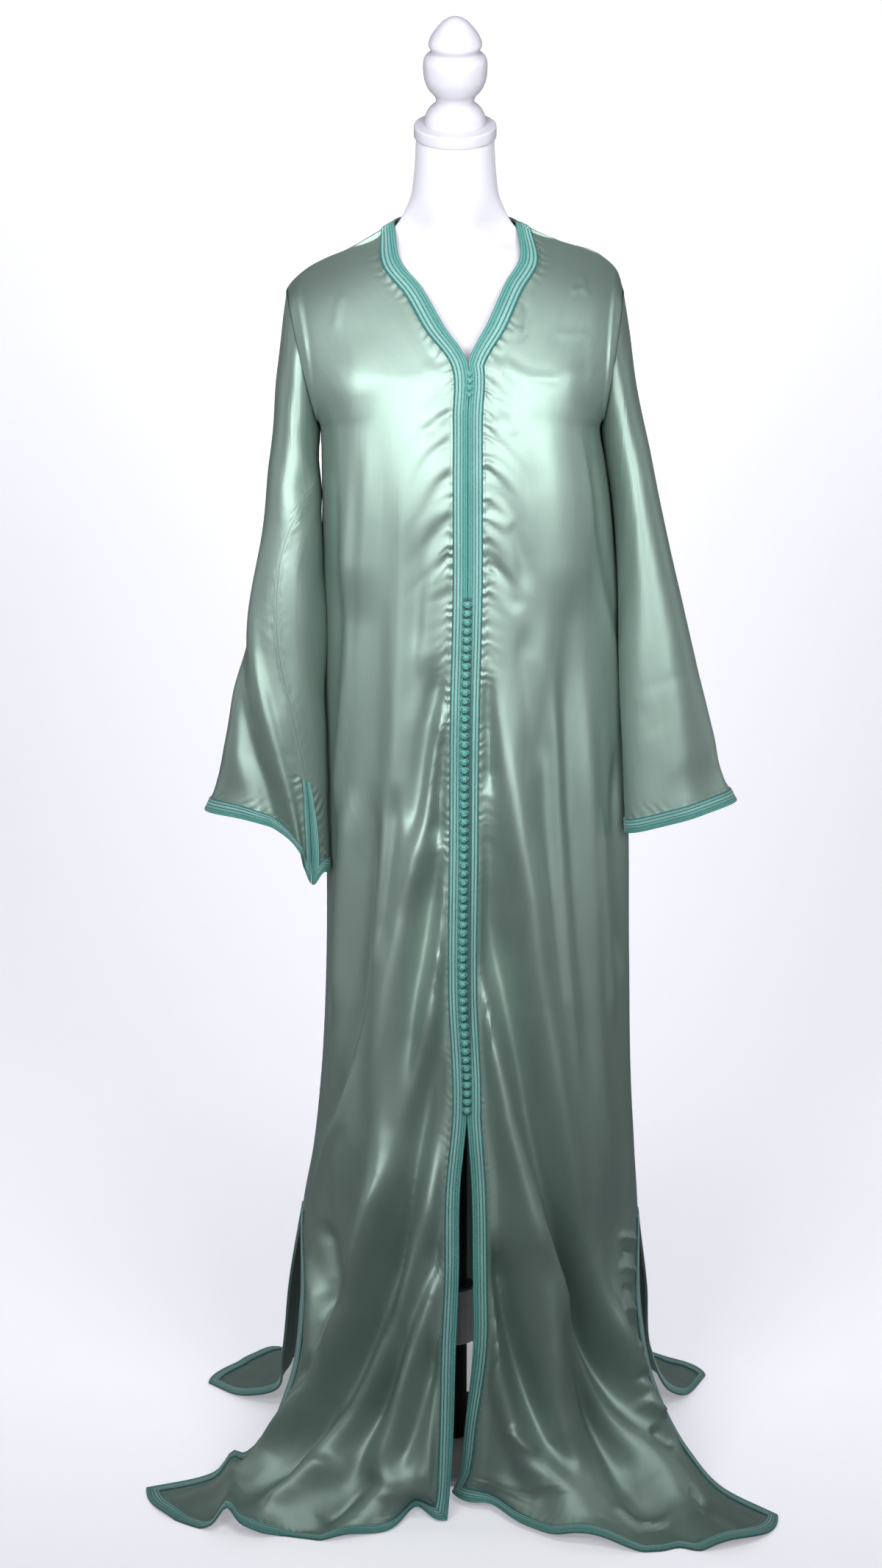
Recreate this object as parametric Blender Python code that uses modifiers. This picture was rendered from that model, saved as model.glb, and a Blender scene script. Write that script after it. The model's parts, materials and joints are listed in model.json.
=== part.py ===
"""A Moroccan kaftan on a limbless dress form.

Satin kaftan with long flared sleeves, worn open and hollow over a plain form on
a round foot.  Teal braid runs round the neckline, down the placket, along the
front slit, hem, side slits and cuffs, and a row of knotted buttons closes it.

Frame: metres, +Z up, origin on the floor under the middle of the stand.  The
front faces -Y and the wearer's left is +X.  Every table below is in millimetres
and degrees, and is turned into metres where it is read.

Every cloth piece is a grid of points: its rows go down the piece and its columns
go round it.  Each row of a table is one section through the piece.  The outermost
three cells along a braided edge are the braid's own width, so each braid is made
from the points of the panel that it is sewn to, moved out.
"""
import math
from typing import NamedTuple

import bmesh
import bpy
import numpy as np

MM = 0.001

# Cloth, seams and braid
CLOTH = 1.2 * MM            # thickness of every wall of cloth
SEAM = 0.15 * MM            # each side of a seam stays this far from it
FLOOR_LIFT = 0.5 * MM       # the underside of cloth that lies on the floor
BRAID_WIDTH = 17 * MM
BRAID_CELLS = 3
BRAID_LIFT = 0.3 * MM       # between the braid and its cloth
BRAID_RIBS = (1.5 * MM, 0.9 * MM, 1.5 * MM, 0.9 * MM)   # height from the edge inwards

# Knotted buttons
BUTTON_COUNT = 60
BUTTON_TOP = 1096 * MM
BUTTON_BOTTOM = 491 * MM
BUTTON_RADIUS = 3.9 * MM
BUTTON_CORD = 1.7 * MM      # half thickness of the cord between two knots
BUTTON_SIDES = 6
CORD_SHARE = 0.05           # where in each pitch the cord between knots is thinnest
KNOT_SHARE = 0.5            # where in each pitch the knot is fullest
NECK_BUTTON_COUNT = 4
NECK_BUTTON_TOP = 1352 * MM
NECK_BUTTON_BOTTOM = 1322 * MM
NECK_BUTTON_RADIUS = 2.9 * MM

# Dress form and stand
NECK_TOP = 1601.5 * MM
CAP_RADIUS = 47 * MM
CAP_HEIGHT = 15 * MM
CAP_TILT = math.radians(16)      # the neck cap and finial lean forward
FORM_GAP = 0.3 * MM
POLE_RADIUS = 16 * MM
COLLAR_RADIUS = 27 * MM
COLLAR_BOTTOM = 140 * MM
COLLAR_TOP = 212 * MM
BASE_RADIUS = 130 * MM
BASE_HEIGHT = 12 * MM
BASE_BEVEL = 3 * MM
SMALL_BEVEL = 2 * MM
CAP_SIDES = 28
FINIAL_SIDES = 16
POLE_SIDES = 16
COLLAR_SIDES = 20
BASE_SIDES = 32

# Grids
SECTION_SAMPLES = 72        # points along a quarter section before its columns are spaced
LOOSE_ROWS = 3              # rows between where cloth meets the floor and its braid
DROP_SAMPLES = 56           # points along the last two sections before rows are spaced
PATH_SAMPLES = 40           # points along the line of the buttons
FRONT_CELLS = 9             # cells across each panel between its two braids' widths
BACK_CELLS = 11
SLEEVE_CELLS = 11
FORM_SIDES = 24
SHARP_CLOTH = 50            # degrees; edges sharper than this are shaded sharp
SHARP_KNOT = 75
TINY = 1e-9

# Folds and gathers
FOLD_OVERRUN = 1.05         # how far past its low end a fold keeps turning
GATHER_FADE = 6             # a gather's ends fade over this part of its run
GATHER_LEAN = 5             # how far each pucker leans as it leaves the edge, per metre
CALM_BELOW = 60 * MM        # folds flatten out under this height, on the floor
CALM_SHARE = 0.4            # and this much of them is left at the floor itself
TIP_REACH = 18 * MM         # how far round the cuff its hanging tips reach


class Armhole(NamedTuple):
    """Oval where a sleeve is set in; it lies in one slanted plane."""
    tip_x: float
    tip_z: float
    under_x: float
    under_z: float
    depth: float


class FrontRow(NamedTuple):
    """One section of a front panel, from its centre edge to its side."""
    name: str
    edge: tuple         # x, y, z on the neckline, placket or slit
    side: tuple         # x, y, z on the armhole, side seam or side slit
    square: float       # 2 is an ellipse, more is boxier
    bulge: float        # extra fullness forward, halfway round
    band: float         # braid width measured along this section
    steps: int          # grid rows from here to the next section


class BackRow(NamedTuple):
    """One section of the back panel, from the wearer's right to the left."""
    name: str
    right: tuple        # x, y, z
    left: tuple
    middle: tuple       # y, z
    square: float
    steps: int


class SleeveRow(NamedTuple):
    """One ring of a sleeve; out is away from the body."""
    name: str
    out: tuple          # x, z
    inn: tuple          # x, z
    mid_y: float
    depth: float        # half the ring's depth, front to back
    seam: float         # angle of the seam: 0 outside, 90 front, 180 inside
    droop: float        # 1 keeps the ring flat, more drops only its inner side
    gap: float          # how far the slit is open here
    tip: float          # how far the slit's corners hang below the ring
    steps: int


class Fold(NamedTuple):
    """A long soft ridge (or trough, if depth is negative) down a panel."""
    top_z: float
    top_u: float        # 0 at the first column, 1 at the last
    low_z: float
    low_u: float
    width: float
    depth: float        # at the low end; it grows from nothing at the top


class Gather(NamedTuple):
    """Puckers that run into the placket where the satin is drawn up."""
    top_z: float
    low_z: float
    pitch: float
    reach: float        # how far they run into the panel
    depth: float


class FormRow(NamedTuple):
    """One level of the dress form."""
    z: float
    half_width: float
    front: float
    back: float
    pinch: float = 0.0      # 0 is an oval, 1 is thin at the shoulders and full at the neck


ARMHOLES = {
    "right": Armhole(tip_x=-192.5, tip_z=1431, under_x=-155.5, under_z=1270, depth=68),
    "left": Armhole(tip_x=192.5, tip_z=1431, under_x=168, under_z=1270, depth=68),
}

# The shoulder lines from the side of the neck to the sleeve: distance from the centre, z
SHOULDERS = {
    "right": ((69.5, 1505), (92, 1486.5), (121, 1476), (149, 1465), (170, 1453.5),
              (184.5, 1441), (192.5, 1431)),
    "left": ((69.5, 1505), (92, 1493), (121, 1484.5), (149, 1476), (170, 1466.5),
             (184.5, 1453), (192.5, 1431)),
}


def armhole_point(side, degrees):
    """Point on an armhole; 0 at the shoulder, 180 under the arm, front first."""
    hole = ARMHOLES[side]
    turn = math.radians(degrees)
    share = (1 - math.cos(turn)) / 2
    return (hole.tip_x + (hole.under_x - hole.tip_x) * share,
            -hole.depth * math.sin(turn),
            hole.tip_z + (hole.under_z - hole.tip_z) * share)


NECK_RIGHT = (-SHOULDERS["right"][0][0], 0, SHOULDERS["right"][0][1])
NECK_LEFT = (SHOULDERS["left"][0][0], 0, SHOULDERS["left"][0][1])

FRONT_RIGHT = (
    FrontRow("shoulder", NECK_RIGHT, armhole_point("right", 0), 2.0, 0, 20, 2),
    FrontRow("collar", (-61, -41, 1465), armhole_point("right", 42), 2.0, 9, 22, 1),
    FrontRow("collarbone", (-37, -62, 1437), armhole_point("right", 75), 2.0, 17, 22, 1),
    FrontRow("chest", (-13, -91, 1399), armhole_point("right", 108), 2.1, 20, 22, 1),
    FrontRow("v_point", (14, -112, 1359), armhole_point("right", 140), 2.2, 17, 19, 2),
    FrontRow("armpit", (14, -128, 1300), armhole_point("right", 180), 2.4, 9, 17, 3),
    FrontRow("bust", (14, -140, 1228), (-154, 0, 1196), 2.5, 4, 17, 4),
    FrontRow("waist", (14, -143, 1103), (-156, 0, 1090), 2.5, 0, 17, 2),
    FrontRow("hip", (11, -146, 960), (-155, 0, 950), 2.5, 0, 17, 2),
    FrontRow("thigh", (10, -150, 800), (-152, 0, 795), 2.5, 0, 17, 2),
    FrontRow("lap", (9, -156, 640), (-153, 0, 640), 2.4, 0, 17, 2),
    FrontRow("knee", (14, -166, 488), (-161, 0, 485), 2.2, 1, 17, 2),
    FrontRow("shin", (6, -175, 395), (-171, 0, 394), 1.9, 4, 17, 2),
    FrontRow("side_slit", (5, -183, 300), (-185, -1, 313), 1.55, 8, 17, 2),
    FrontRow("calf", (1, -192, 203), (-186, -58, 212), 1.3, 10, 17, 2),
    FrontRow("ankle", (-2, -203, 105), (-202, -74, 110), 1.3, 18, 17, 2),
    FrontRow("touch", (-6, -212, 36), (-241, -94, 40), 1.5, 34, 17, 1),
    FrontRow("floor", (-8, -220, 10), (-300, -115, 9), 1.8, 50, 17, 1),
    FrontRow("hem", (-9, -222, 2), (-372, -135, 2), 1.7, 68, 17, 0),
)

FRONT_LEFT = (
    FrontRow("shoulder", NECK_LEFT, armhole_point("left", 0), 2.0, 0, 20, 2),
    FrontRow("collar", (73, -36, 1468), armhole_point("left", 42), 2.0, 9, 22, 1),
    FrontRow("collarbone", (57, -57, 1443), armhole_point("left", 75), 2.0, 17, 22, 1),
    FrontRow("chest", (36, -89, 1401), armhole_point("left", 108), 2.1, 20, 22, 1),
    FrontRow("v_point", (14, -112, 1359), armhole_point("left", 140), 2.2, 17, 19, 2),
    FrontRow("armpit", (14, -128, 1300), armhole_point("left", 180), 2.4, 9, 17, 3),
    FrontRow("bust", (14, -140, 1228), (180, 0, 1196), 2.5, 4, 17, 4),
    FrontRow("waist", (14, -143, 1103), (190, 0, 1090), 2.5, 0, 17, 2),
    FrontRow("hip", (11, -146, 960), (197, 0, 950), 2.5, 0, 17, 2),
    FrontRow("thigh", (10, -150, 800), (204, 0, 795), 2.5, 0, 17, 2),
    FrontRow("lap", (9, -156, 640), (207, 0, 640), 2.4, 0, 17, 2),
    FrontRow("knee", (14, -166, 488), (212, 0, 485), 2.2, 1, 17, 2),
    FrontRow("shin", (20, -172, 395), (219, 0, 394), 1.9, 4, 17, 2),
    FrontRow("side_slit", (21.5, -177, 300), (225, -1, 305), 1.55, 10, 17, 2),
    FrontRow("calf", (22.5, -178, 203), (226, -58, 205), 1.3, 18, 17, 2),
    FrontRow("ankle", (14, -172, 105), (246, -80, 108), 1.3, 40, 17, 2),
    FrontRow("touch", (8, -168, 42), (285, -108, 38), 1.45, 70, 17, 1),
    FrontRow("floor", (1, -163, 18), (320, -144, 9), 1.4, 100, 17, 1),
    FrontRow("hem", (-2, -160, 9), (384, -209, 2), 1.35, 120, 17, 0),
)

BACK = (
    BackRow("nape", NECK_RIGHT, NECK_LEFT, (57, 1513), 2.0, 1),
    BackRow("yoke", (-121, 0, 1476), (121, 0, 1484.5), (82, 1478), 2.1, 1),
    BackRow("shoulder", (-170, 0, 1453.5), (170, 0, 1466.5), (98, 1447), 2.2, 1),
    BackRow("tip", armhole_point("right", 0), armhole_point("left", 0), (105, 1420), 2.3, 1),
    BackRow("blade", armhole_point("right", -55), armhole_point("left", -55), (112, 1385), 2.3, 1),
    BackRow("rib", armhole_point("right", -110), armhole_point("left", -110), (117, 1335), 2.4, 1),
    BackRow("armpit", armhole_point("right", -180), armhole_point("left", -180), (120, 1283), 2.5, 2),
    BackRow("chest", (-154, 0, 1196), (180, 0, 1196), (121, 1200), 2.5, 2),
    BackRow("waist", (-156, 0, 1090), (190, 0, 1090), (122, 1090), 2.5, 2),
    BackRow("hip", (-155, 0, 950), (197, 0, 950), (127, 950), 2.5, 2),
    BackRow("thigh", (-152, 0, 795), (204, 0, 795), (134, 795), 2.5, 2),
    BackRow("lap", (-153, 0, 640), (207, 0, 640), (143, 640), 2.4, 2),
    BackRow("knee", (-161, 0, 485), (212, 0, 485), (155, 485), 2.4, 2),
    BackRow("shin", (-171, 0, 394), (219, 0, 394), (164, 394), 2.4, 2),
    BackRow("side_slit", (-185, 1, 313), (225, 1, 305), (174, 305), 2.3, 2),
    BackRow("calf", (-203, 28, 203), (238, 28, 200), (190, 200), 2.3, 2),
    BackRow("ankle", (-215, 66, 90), (248, 68, 90), (212, 98), 2.3, 2),
    BackRow("touch", (-228, 102, 24), (274, 104, 24), (238, 36), 2.3, 1),
    BackRow("floor", (-272, 128, 6), (299, 130, 6), (275, 12), 2.2, 1),
    BackRow("hem", (-317, 175, 2), (328, 198, 2), (318, 2), 1.95, 0),
)

SLEEVE_RIGHT = (
    SleeveRow("head", (-192.5, 1431), (-155.5, 1270), 0, 68, 180, 1.0, 0.3, 0, 1),
    SleeveRow("cap", (-198, 1391), (-157.2, 1240), -7, 65, 172, 1.0, 0.3, 0, 2),
    SleeveRow("upper", (-206, 1321.5), (-155.4, 1197), -21, 57, 140, 1.0, 0.3, 0, 2),
    SleeveRow("elbow_top", (-214, 1234), (-155, 1147), -42, 51, 98, 1.1, 0.3, 0, 2),
    SleeveRow("elbow", (-222.5, 1152), (-154, 1088), -55, 46, 72, 1.3, 0.3, 0, 2),
    SleeveRow("forearm", (-240, 1054), (-152.8, 1010), -62, 42, 80, 1.5, 0.3, 0, 2),
    SleeveRow("flare", (-258.5, 965), (-149.8, 921), -66, 39, 110, 1.8, 0.3, 0, 1),
    SleeveRow("slit", (-269, 906), (-147.8, 857), -67, 37, 126, 2.1, 0.3, 2, 1),
    SleeveRow("wrist", (-279, 861), (-147.4, 800), -67, 36, 133, 2.5, 3, 14, 1),
    SleeveRow("cuff", (-291.8, 831.5), (-147, 756), -67, 37, 136, 2.8, 5, 34, 0),
)

SLEEVE_LEFT = (
    SleeveRow("head", (192.5, 1431), (168, 1270), 0, 68, 180, 1.0, 0.3, 0, 1),
    SleeveRow("cap", (200, 1386), (174.8, 1240), -4, 65, 182, 1.0, 0.3, 0, 2),
    SleeveRow("upper", (209, 1318), (181.4, 1198.5), -18, 57, 184, 1.0, 0.3, 0, 2),
    SleeveRow("elbow_top", (225.2, 1242), (185.4, 1147.5), -38, 50, 186, 1.0, 0.3, 0, 2),
    SleeveRow("elbow", (244, 1156.5), (188.5, 1092.5), -52, 46, 188, 1.0, 0.3, 0, 2),
    SleeveRow("forearm", (266.7, 1061), (189.5, 1017), -64, 42, 190, 1.1, 0.3, 0, 2),
    SleeveRow("flare", (287.8, 974), (192.5, 940), -70, 38, 193, 1.2, 0.3, 0, 1),
    SleeveRow("slit", (302.3, 918), (195.5, 889), -72, 36, 197, 1.3, 0.3, 0, 1),
    SleeveRow("wrist", (311, 877), (198, 839), -72, 35, 200, 1.3, 4, 2, 1),
    SleeveRow("cuff", (328.5, 844), (200, 806), -72, 36, 202, 1.3, 8, 6, 0),
)

FOLDS_FRONT_RIGHT = (
    Fold(800, 0.13, 30, 0.56, 44, 34),
    Fold(560, 0.06, 30, 0.28, 24, 15),
    Fold(680, 0.19, 60, 0.39, 26, -22),
    Fold(760, 0.56, 290, 0.80, 32, 9),
    Fold(560, 0.45, 60, 0.72, 30, -14),
    Fold(1180, 0.55, 700, 0.60, 24, 8),
    Fold(1180, 0.28, 640, 0.36, 20, 8),
    Fold(1100, 0.42, 420, 0.48, 26, -11),
)

FOLDS_FRONT_LEFT = (
    Fold(720, 0.09, 40, 0.42, 34, 24),
    Fold(740, 0.24, 60, 0.60, 34, -26),
    Fold(660, 0.42, 90, 0.76, 36, 20),
    Fold(1080, 0.10, 640, 0.36, 22, 9),
    Fold(1290, 0.60, 940, 0.84, 22, 4),
    Fold(1000, 0.56, 420, 0.66, 26, -12),
)

FOLDS_BACK = (
    Fold(1150, 0.24, 60, 0.17, 34, 24),
    Fold(1060, 0.36, 60, 0.33, 30, -18),
    Fold(1180, 0.47, 60, 0.49, 36, 26),
    Fold(1020, 0.60, 60, 0.64, 30, -20),
    Fold(1120, 0.73, 60, 0.80, 34, 22),
)

FOLDS_SLEEVE_RIGHT = (
    Fold(1190, 0.86, 900, 0.90, 14, 8),
    Fold(1150, 0.74, 880, 0.80, 14, -9),
    Fold(1300, 0.30, 900, 0.34, 20, 5),
)

FOLDS_SLEEVE_LEFT = (
    Fold(1290, 0.34, 930, 0.30, 16, -6),
    Fold(1320, 0.60, 900, 0.62, 24, 5),
)

GATHERS_FRONT = (
    Gather(1352, 1080, 58, 38, 5.0),
    Gather(1080, 560, 84, 30, 2.6),
)

FORM = (
    FormRow(742, 128, -86, 86),
    FormRow(756, 144, -102, 100),
    FormRow(830, 148, -114, 112),
    FormRow(920, 147, -116, 114),
    FormRow(1010, 133, -108, 100),
    FormRow(1085, 118, -98, 84),
    FormRow(1160, 127, -108, 90),
    FormRow(1235, 139, -126, 100),
    FormRow(1300, 143, -112, 105),
    FormRow(1350, 148, -95, 100),
    FormRow(1395, 160, -74, 92),
)
FORM_TOP = (
    FormRow(1519, 57.5, -46, 50, 0.4),
    FormRow(1535, 50.8, -46, 47, 0.12),
    FormRow(1560, 47, -45, 44),
    FormRow(1601.5, 44.5, -44, 43),
)


class FormShoulder(NamedTuple):
    """Level of the form at one point of the shoulder line."""
    step: int           # which point of the shoulder line
    drop: float         # how far below the underside of the cloth
    front: float
    back: float
    pinch: float


FORM_SHOULDERS = (
    FormShoulder(5, 5.0, -56, 84, 0.35),
    FormShoulder(4, 3.6, -54, 78, 0.5),
    FormShoulder(3, 2.6, -52, 70, 0.7),
    FormShoulder(2, 0.5, -50, 62, 0.85),
    FormShoulder(1, 0.5, -48, 54, 0.9),
    FormShoulder(0, 0.5, -46, 50, 0.75),
)
FORM_SHOULDER_INSET = 1.6

# Finial, top to bottom: radius and height above the neck cap
FINIAL = ((0, 123), (15, 116.5), (22.2, 108), (27.7, 99.5), (30.2, 90.5), (26.8, 82.6),
          (33.6, 77.5), (36.1, 60), (34.2, 48.5), (30.2, 40), (22.6, 30), (22, 24.5),
          (29.5, 16.5), (34.2, 7), (34.7, 0), (0, 0))


# --------------------------------------------------------------- curve helpers

def smooth(share):
    """Smooth step of an array, from 0 below 0 to 1 above 1."""
    share = np.clip(share, 0, 1)
    return share * share * (3 - 2 * share)


def curve_through(knots, values, places):
    """Smooth curve through values at uneven knots, read at the given places."""
    slopes = np.empty_like(values)
    gaps = np.diff(knots)
    steps = np.diff(values, axis=0) / gaps[:, None, None]
    slopes[0], slopes[-1] = steps[0], steps[-1]
    before, after = gaps[:-1, None, None], gaps[1:, None, None]
    slopes[1:-1] = (steps[:-1] * after + steps[1:] * before) / (before + after)
    index = np.clip(np.searchsorted(knots, places, side="right") - 1, 0, len(knots) - 2)
    gap = gaps[index][:, None, None]
    share = ((places - knots[index]) / gaps[index])[:, None, None]
    start, end = values[index], values[index + 1]
    pull_start, pull_end = slopes[index] * gap, slopes[index + 1] * gap
    return ((1 + 2 * share) * (1 - share) ** 2 * start + share * (1 - share) ** 2 * pull_start
            + share ** 2 * (3 - 2 * share) * end - share ** 2 * (1 - share) * pull_end)


def lengths_along(points):
    """Distance along a polyline to each of its points."""
    return np.concatenate([[0], np.cumsum(np.linalg.norm(np.diff(points, axis=0), axis=1))])


def points_at(points, distances):
    """Points of a polyline at the given distances along it."""
    along = lengths_along(points)
    return np.stack([np.interp(distances, along, points[:, axis]) for axis in range(3)], axis=1)


def banded_columns(points, first_band, last_band, middle_cells):
    """Space columns along a section: a braid's cells at each end, even cells between."""
    length = lengths_along(points)[-1]
    first = np.linspace(0, first_band, BRAID_CELLS + 1)
    last = np.linspace(length - last_band, length, BRAID_CELLS + 1)
    middle = np.linspace(first_band, length - last_band, middle_cells + 1)[1:-1]
    return points_at(points, np.concatenate([first, middle, last]))


# ------------------------------------------------------------------- sections

def front_section(row):
    """Quarter round from the centre edge to the side, in metres."""
    turn = np.linspace(0, math.pi / 2, SECTION_SAMPLES)
    edge, side = np.array(row.edge), np.array(row.side)
    across = np.sin(turn) ** (2 / row.square)
    along = np.clip(np.cos(turn), 0, 1) ** (2 / row.square)
    x = edge[0] + (side[0] - edge[0]) * across
    y = side[1] + (edge[1] - side[1]) * along - row.bulge * np.sin(2 * turn)
    z = edge[2] + (side[2] - edge[2]) * turn / turn[-1]
    return np.stack([x, y, z], axis=1) * MM


def shoulder_section(side, samples=SECTION_SAMPLES):
    """The shoulder line from the neck to the sleeve, in metres."""
    table = np.array(SHOULDERS[side], dtype=float)
    sign = -1 if side == "right" else 1
    knots = lengths_along(np.column_stack([table, np.zeros(len(table))]))
    places = np.linspace(0, knots[-1], samples)
    xz = curve_through(knots, table[:, None, :], places)[:, 0]
    return np.stack([sign * xz[:, 0], np.zeros(samples), xz[:, 1]], axis=1) * MM


def back_section(row):
    """Half round from the wearer's right side to the left, in metres."""
    turn = np.linspace(math.pi, 0, 2 * SECTION_SAMPLES)
    right, left = np.array(row.right), np.array(row.left)
    across = np.sign(np.cos(turn)) * np.abs(np.cos(turn)) ** (2 / row.square)
    along = np.clip(np.sin(turn), 0, 1) ** (2 / row.square)
    share = (across + 1) / 2
    side_y = right[1] + (left[1] - right[1]) * share
    side_z = right[2] + (left[2] - right[2]) * share
    x = right[0] + (left[0] - right[0]) * share
    y = side_y + (row.middle[0] - side_y) * along
    z = side_z + (row.middle[1] - side_z) * along
    return np.stack([x, y, z], axis=1) * MM


def sleeve_section(row):
    """Ring round the arm from the seam back to the seam, in metres."""
    turn = math.radians(row.seam) + np.linspace(0, 2 * math.pi, 2 * SECTION_SAMPLES)
    out, inn = np.array(row.out), np.array(row.inn)
    share = (1 + np.cos(turn)) / 2
    x = inn[0] + (out[0] - inn[0]) * share
    z = out[1] + (inn[1] - out[1]) * (1 - share) ** row.droop
    y = row.mid_y - row.depth * np.sin(turn)
    ring = np.stack([x, y, z], axis=1) * MM
    along = lengths_along(ring)
    length = along[-1]
    from_slit = np.minimum(along, length - along)
    ring[:, 2] -= row.tip * MM * np.exp(-(from_slit / TIP_REACH) ** 2)
    length = lengths_along(ring)[-1]
    half_gap = row.gap * MM / 2
    return points_at(ring, np.linspace(half_gap, length - half_gap, len(ring)))


# ---------------------------------------------------------------------- grids

def skin(columns, table):
    """Rows of points down through the sections, the last ones a braid's cells.

    columns has one line of points for each row of the table.  The grid rows follow
    the steps down to the last section but two.  Below it each column is measured:
    a few loose rows, evenly spaced, and then the rows of the braid along the hem.
    """
    mean_gap = np.linalg.norm(np.diff(columns, axis=0), axis=2).mean(axis=1)
    knots = np.concatenate([[0], np.cumsum(mean_gap)])
    places = [knots[0]]
    for index, row in enumerate(table[:-3]):
        places += list(np.linspace(knots[index], knots[index + 1], row.steps + 1)[1:])
    body = curve_through(knots, columns, np.array(places))
    drop = curve_through(knots, columns, np.linspace(knots[-3], knots[-1], DROP_SAMPLES))
    low_rows = []
    for column in range(columns.shape[1]):
        length = lengths_along(drop[:, column])[-1]
        loose = np.linspace(0, length - BRAID_WIDTH, LOOSE_ROWS + 1)[1:-1]
        braid = length - np.linspace(BRAID_WIDTH, 0, BRAID_CELLS + 1)
        low_rows.append(points_at(drop[:, column], np.concatenate([loose, braid])))
    return np.concatenate([body, np.stack(low_rows, axis=1)])


def directions(points, axis):
    """Unit direction of the grid along one axis, even where its cells are uneven."""
    steps = np.diff(points, axis=axis)
    steps = steps / np.maximum(np.linalg.norm(steps, axis=2, keepdims=True), TINY)
    first = np.take(steps, [0], axis=axis)
    last = np.take(steps, [-1], axis=axis)
    ahead = np.concatenate([steps, last], axis=axis)
    behind = np.concatenate([first, steps], axis=axis)
    return ahead + behind


def outward(points, turned):
    """Unit normals of a grid that point away from the wearer."""
    normals = np.cross(directions(points, 1), directions(points, 0))
    normals = normals / np.maximum(np.linalg.norm(normals, axis=2, keepdims=True), TINY)
    return -normals if turned else normals


def add_folds(points, turned, folds, gathers=()):
    """Move the grid out and in along its normals by tables of folds and gathers."""
    normals = outward(points, turned)
    widths = np.linalg.norm(np.diff(points, axis=1), axis=2)
    along = np.concatenate([np.zeros((len(points), 1)), np.cumsum(widths, axis=1)], axis=1)
    length = along[:, -1:]
    shift = np.zeros(points.shape[:2])
    for fold in folds:
        share = (fold.top_z * MM - points[:, :, 2]) / ((fold.top_z - fold.low_z) * MM)
        middle = (fold.top_u + (fold.low_u - fold.top_u) * np.clip(share, 0, FOLD_OVERRUN)) * length
        ridge = np.exp(-((along - middle) / (fold.width * MM)) ** 2)
        shift += fold.depth * MM * smooth(share) * ridge
    shift *= CALM_SHARE + (1 - CALM_SHARE) * smooth(points[:, :, 2] / CALM_BELOW)
    for gather in gathers:
        level = (gather.top_z * MM - points[:, :, 2]) / ((gather.top_z - gather.low_z) * MM)
        inside = smooth(GATHER_FADE * level) * smooth(GATHER_FADE * (1 - level))
        phase = 2 * math.pi * points[:, :1, 2] / (gather.pitch * MM)
        wave = np.sin(phase + GATHER_LEAN * along)
        shift += gather.depth * MM * inside * wave * np.exp(-along / (gather.reach * MM))
    edge_distance = np.minimum(along, length - along)
    shift *= smooth((edge_distance - BRAID_WIDTH) / BRAID_WIDTH)
    return points + normals * shift[:, :, None]


def keep_off_floor(points):
    """Lift what lies on the floor so that its underside is just above it."""
    points[:, :, 2] = np.maximum(points[:, :, 2], CLOTH + FLOOR_LIFT)
    return points


def flatten(normals, where, plane):
    """Turn some normals into a seam's plane, so that the wall ends on it."""
    plane = np.array(plane) / np.linalg.norm(plane)
    chosen = normals[where]
    chosen = chosen - (chosen @ plane)[..., None] * plane
    normals[where] = chosen / np.linalg.norm(chosen, axis=-1, keepdims=True)


def armhole_plane(side):
    """Unit vector square to an armhole's plane, pointing to the sleeve."""
    hole = ARMHOLES[side]
    along = np.array([hole.under_x - hole.tip_x, 0, hole.under_z - hole.tip_z])
    square = np.array([-along[2], 0, along[0]])
    square = square / np.linalg.norm(square)
    return square if square[0] * hole.tip_x > 0 else -square


class Grid(NamedTuple):
    """A cloth piece: its outer points, its normals and its first braided rows."""
    points: np.ndarray
    normals: np.ndarray
    slit_row: int       # first grid row below the top of the side slit or cuff slit


def rows_before(table, name):
    """Grid rows above the named section."""
    count = 0
    for row in table:
        if row.name == name:
            return count
        count += row.steps
    raise ValueError(name)


def meet(points, rows, mate):
    """Move a front's placket edge onto its mate's, easing off across the panel."""
    shift = mate[rows, 0] - points[rows, 0]
    easing = 1 - smooth(np.linspace(0, 2, points.shape[1]))
    points[rows] += shift[:, None, :] * easing[None, :, None]


def front_grid(side, table, folds, mate=None):
    """Grid of one front, from the shoulder to the hem; mate is the other front."""
    columns = []
    for row in table:
        section = front_section(row)
        if row.name == "shoulder":
            section = shoulder_section(side)
        columns.append(banded_columns(section, row.band * MM, BRAID_WIDTH, FRONT_CELLS))
    points = skin(np.array(columns), table)
    turned = side == "left"
    points = keep_off_floor(add_folds(points, turned, folds, GATHERS_FRONT))
    armpit, slit = rows_before(table, "armpit"), rows_before(table, "side_slit")
    v_point, knee = rows_before(table, "v_point"), rows_before(table, "knee")
    if mate is not None:
        meet(points, slice(v_point, knee + 1), mate.points)
    normals = outward(points, turned)
    flatten(normals, (slice(0, armpit + 1), -1), armhole_plane(side))
    flatten(normals, (0, slice(None)), (0, 1, 0))
    flatten(normals, (slice(armpit, slit + 1), -1), (0, 1, 0))
    points[:armpit + 1, -1] -= armhole_plane(side) * SEAM
    points[0, :, 1] = -SEAM
    points[armpit:slit + 1, -1, 1] = -SEAM
    return Grid(points, normals, slit)


def part_placket(right, left):
    """Share the normals of the two closed placket edges and part them by a seam."""
    start, end = rows_before(FRONT_RIGHT, "v_point"), rows_before(FRONT_RIGHT, "knee") + 1
    shared = right.normals[start:end, 0] + left.normals[start:end, 0]
    shared[:, 0] = 0
    shared /= np.linalg.norm(shared, axis=1, keepdims=True)
    for grid, sign in ((right, -1), (left, 1)):
        grid.normals[start:end, 0] = shared
        grid.points[start:end, 0, 0] += sign * SEAM


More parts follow.
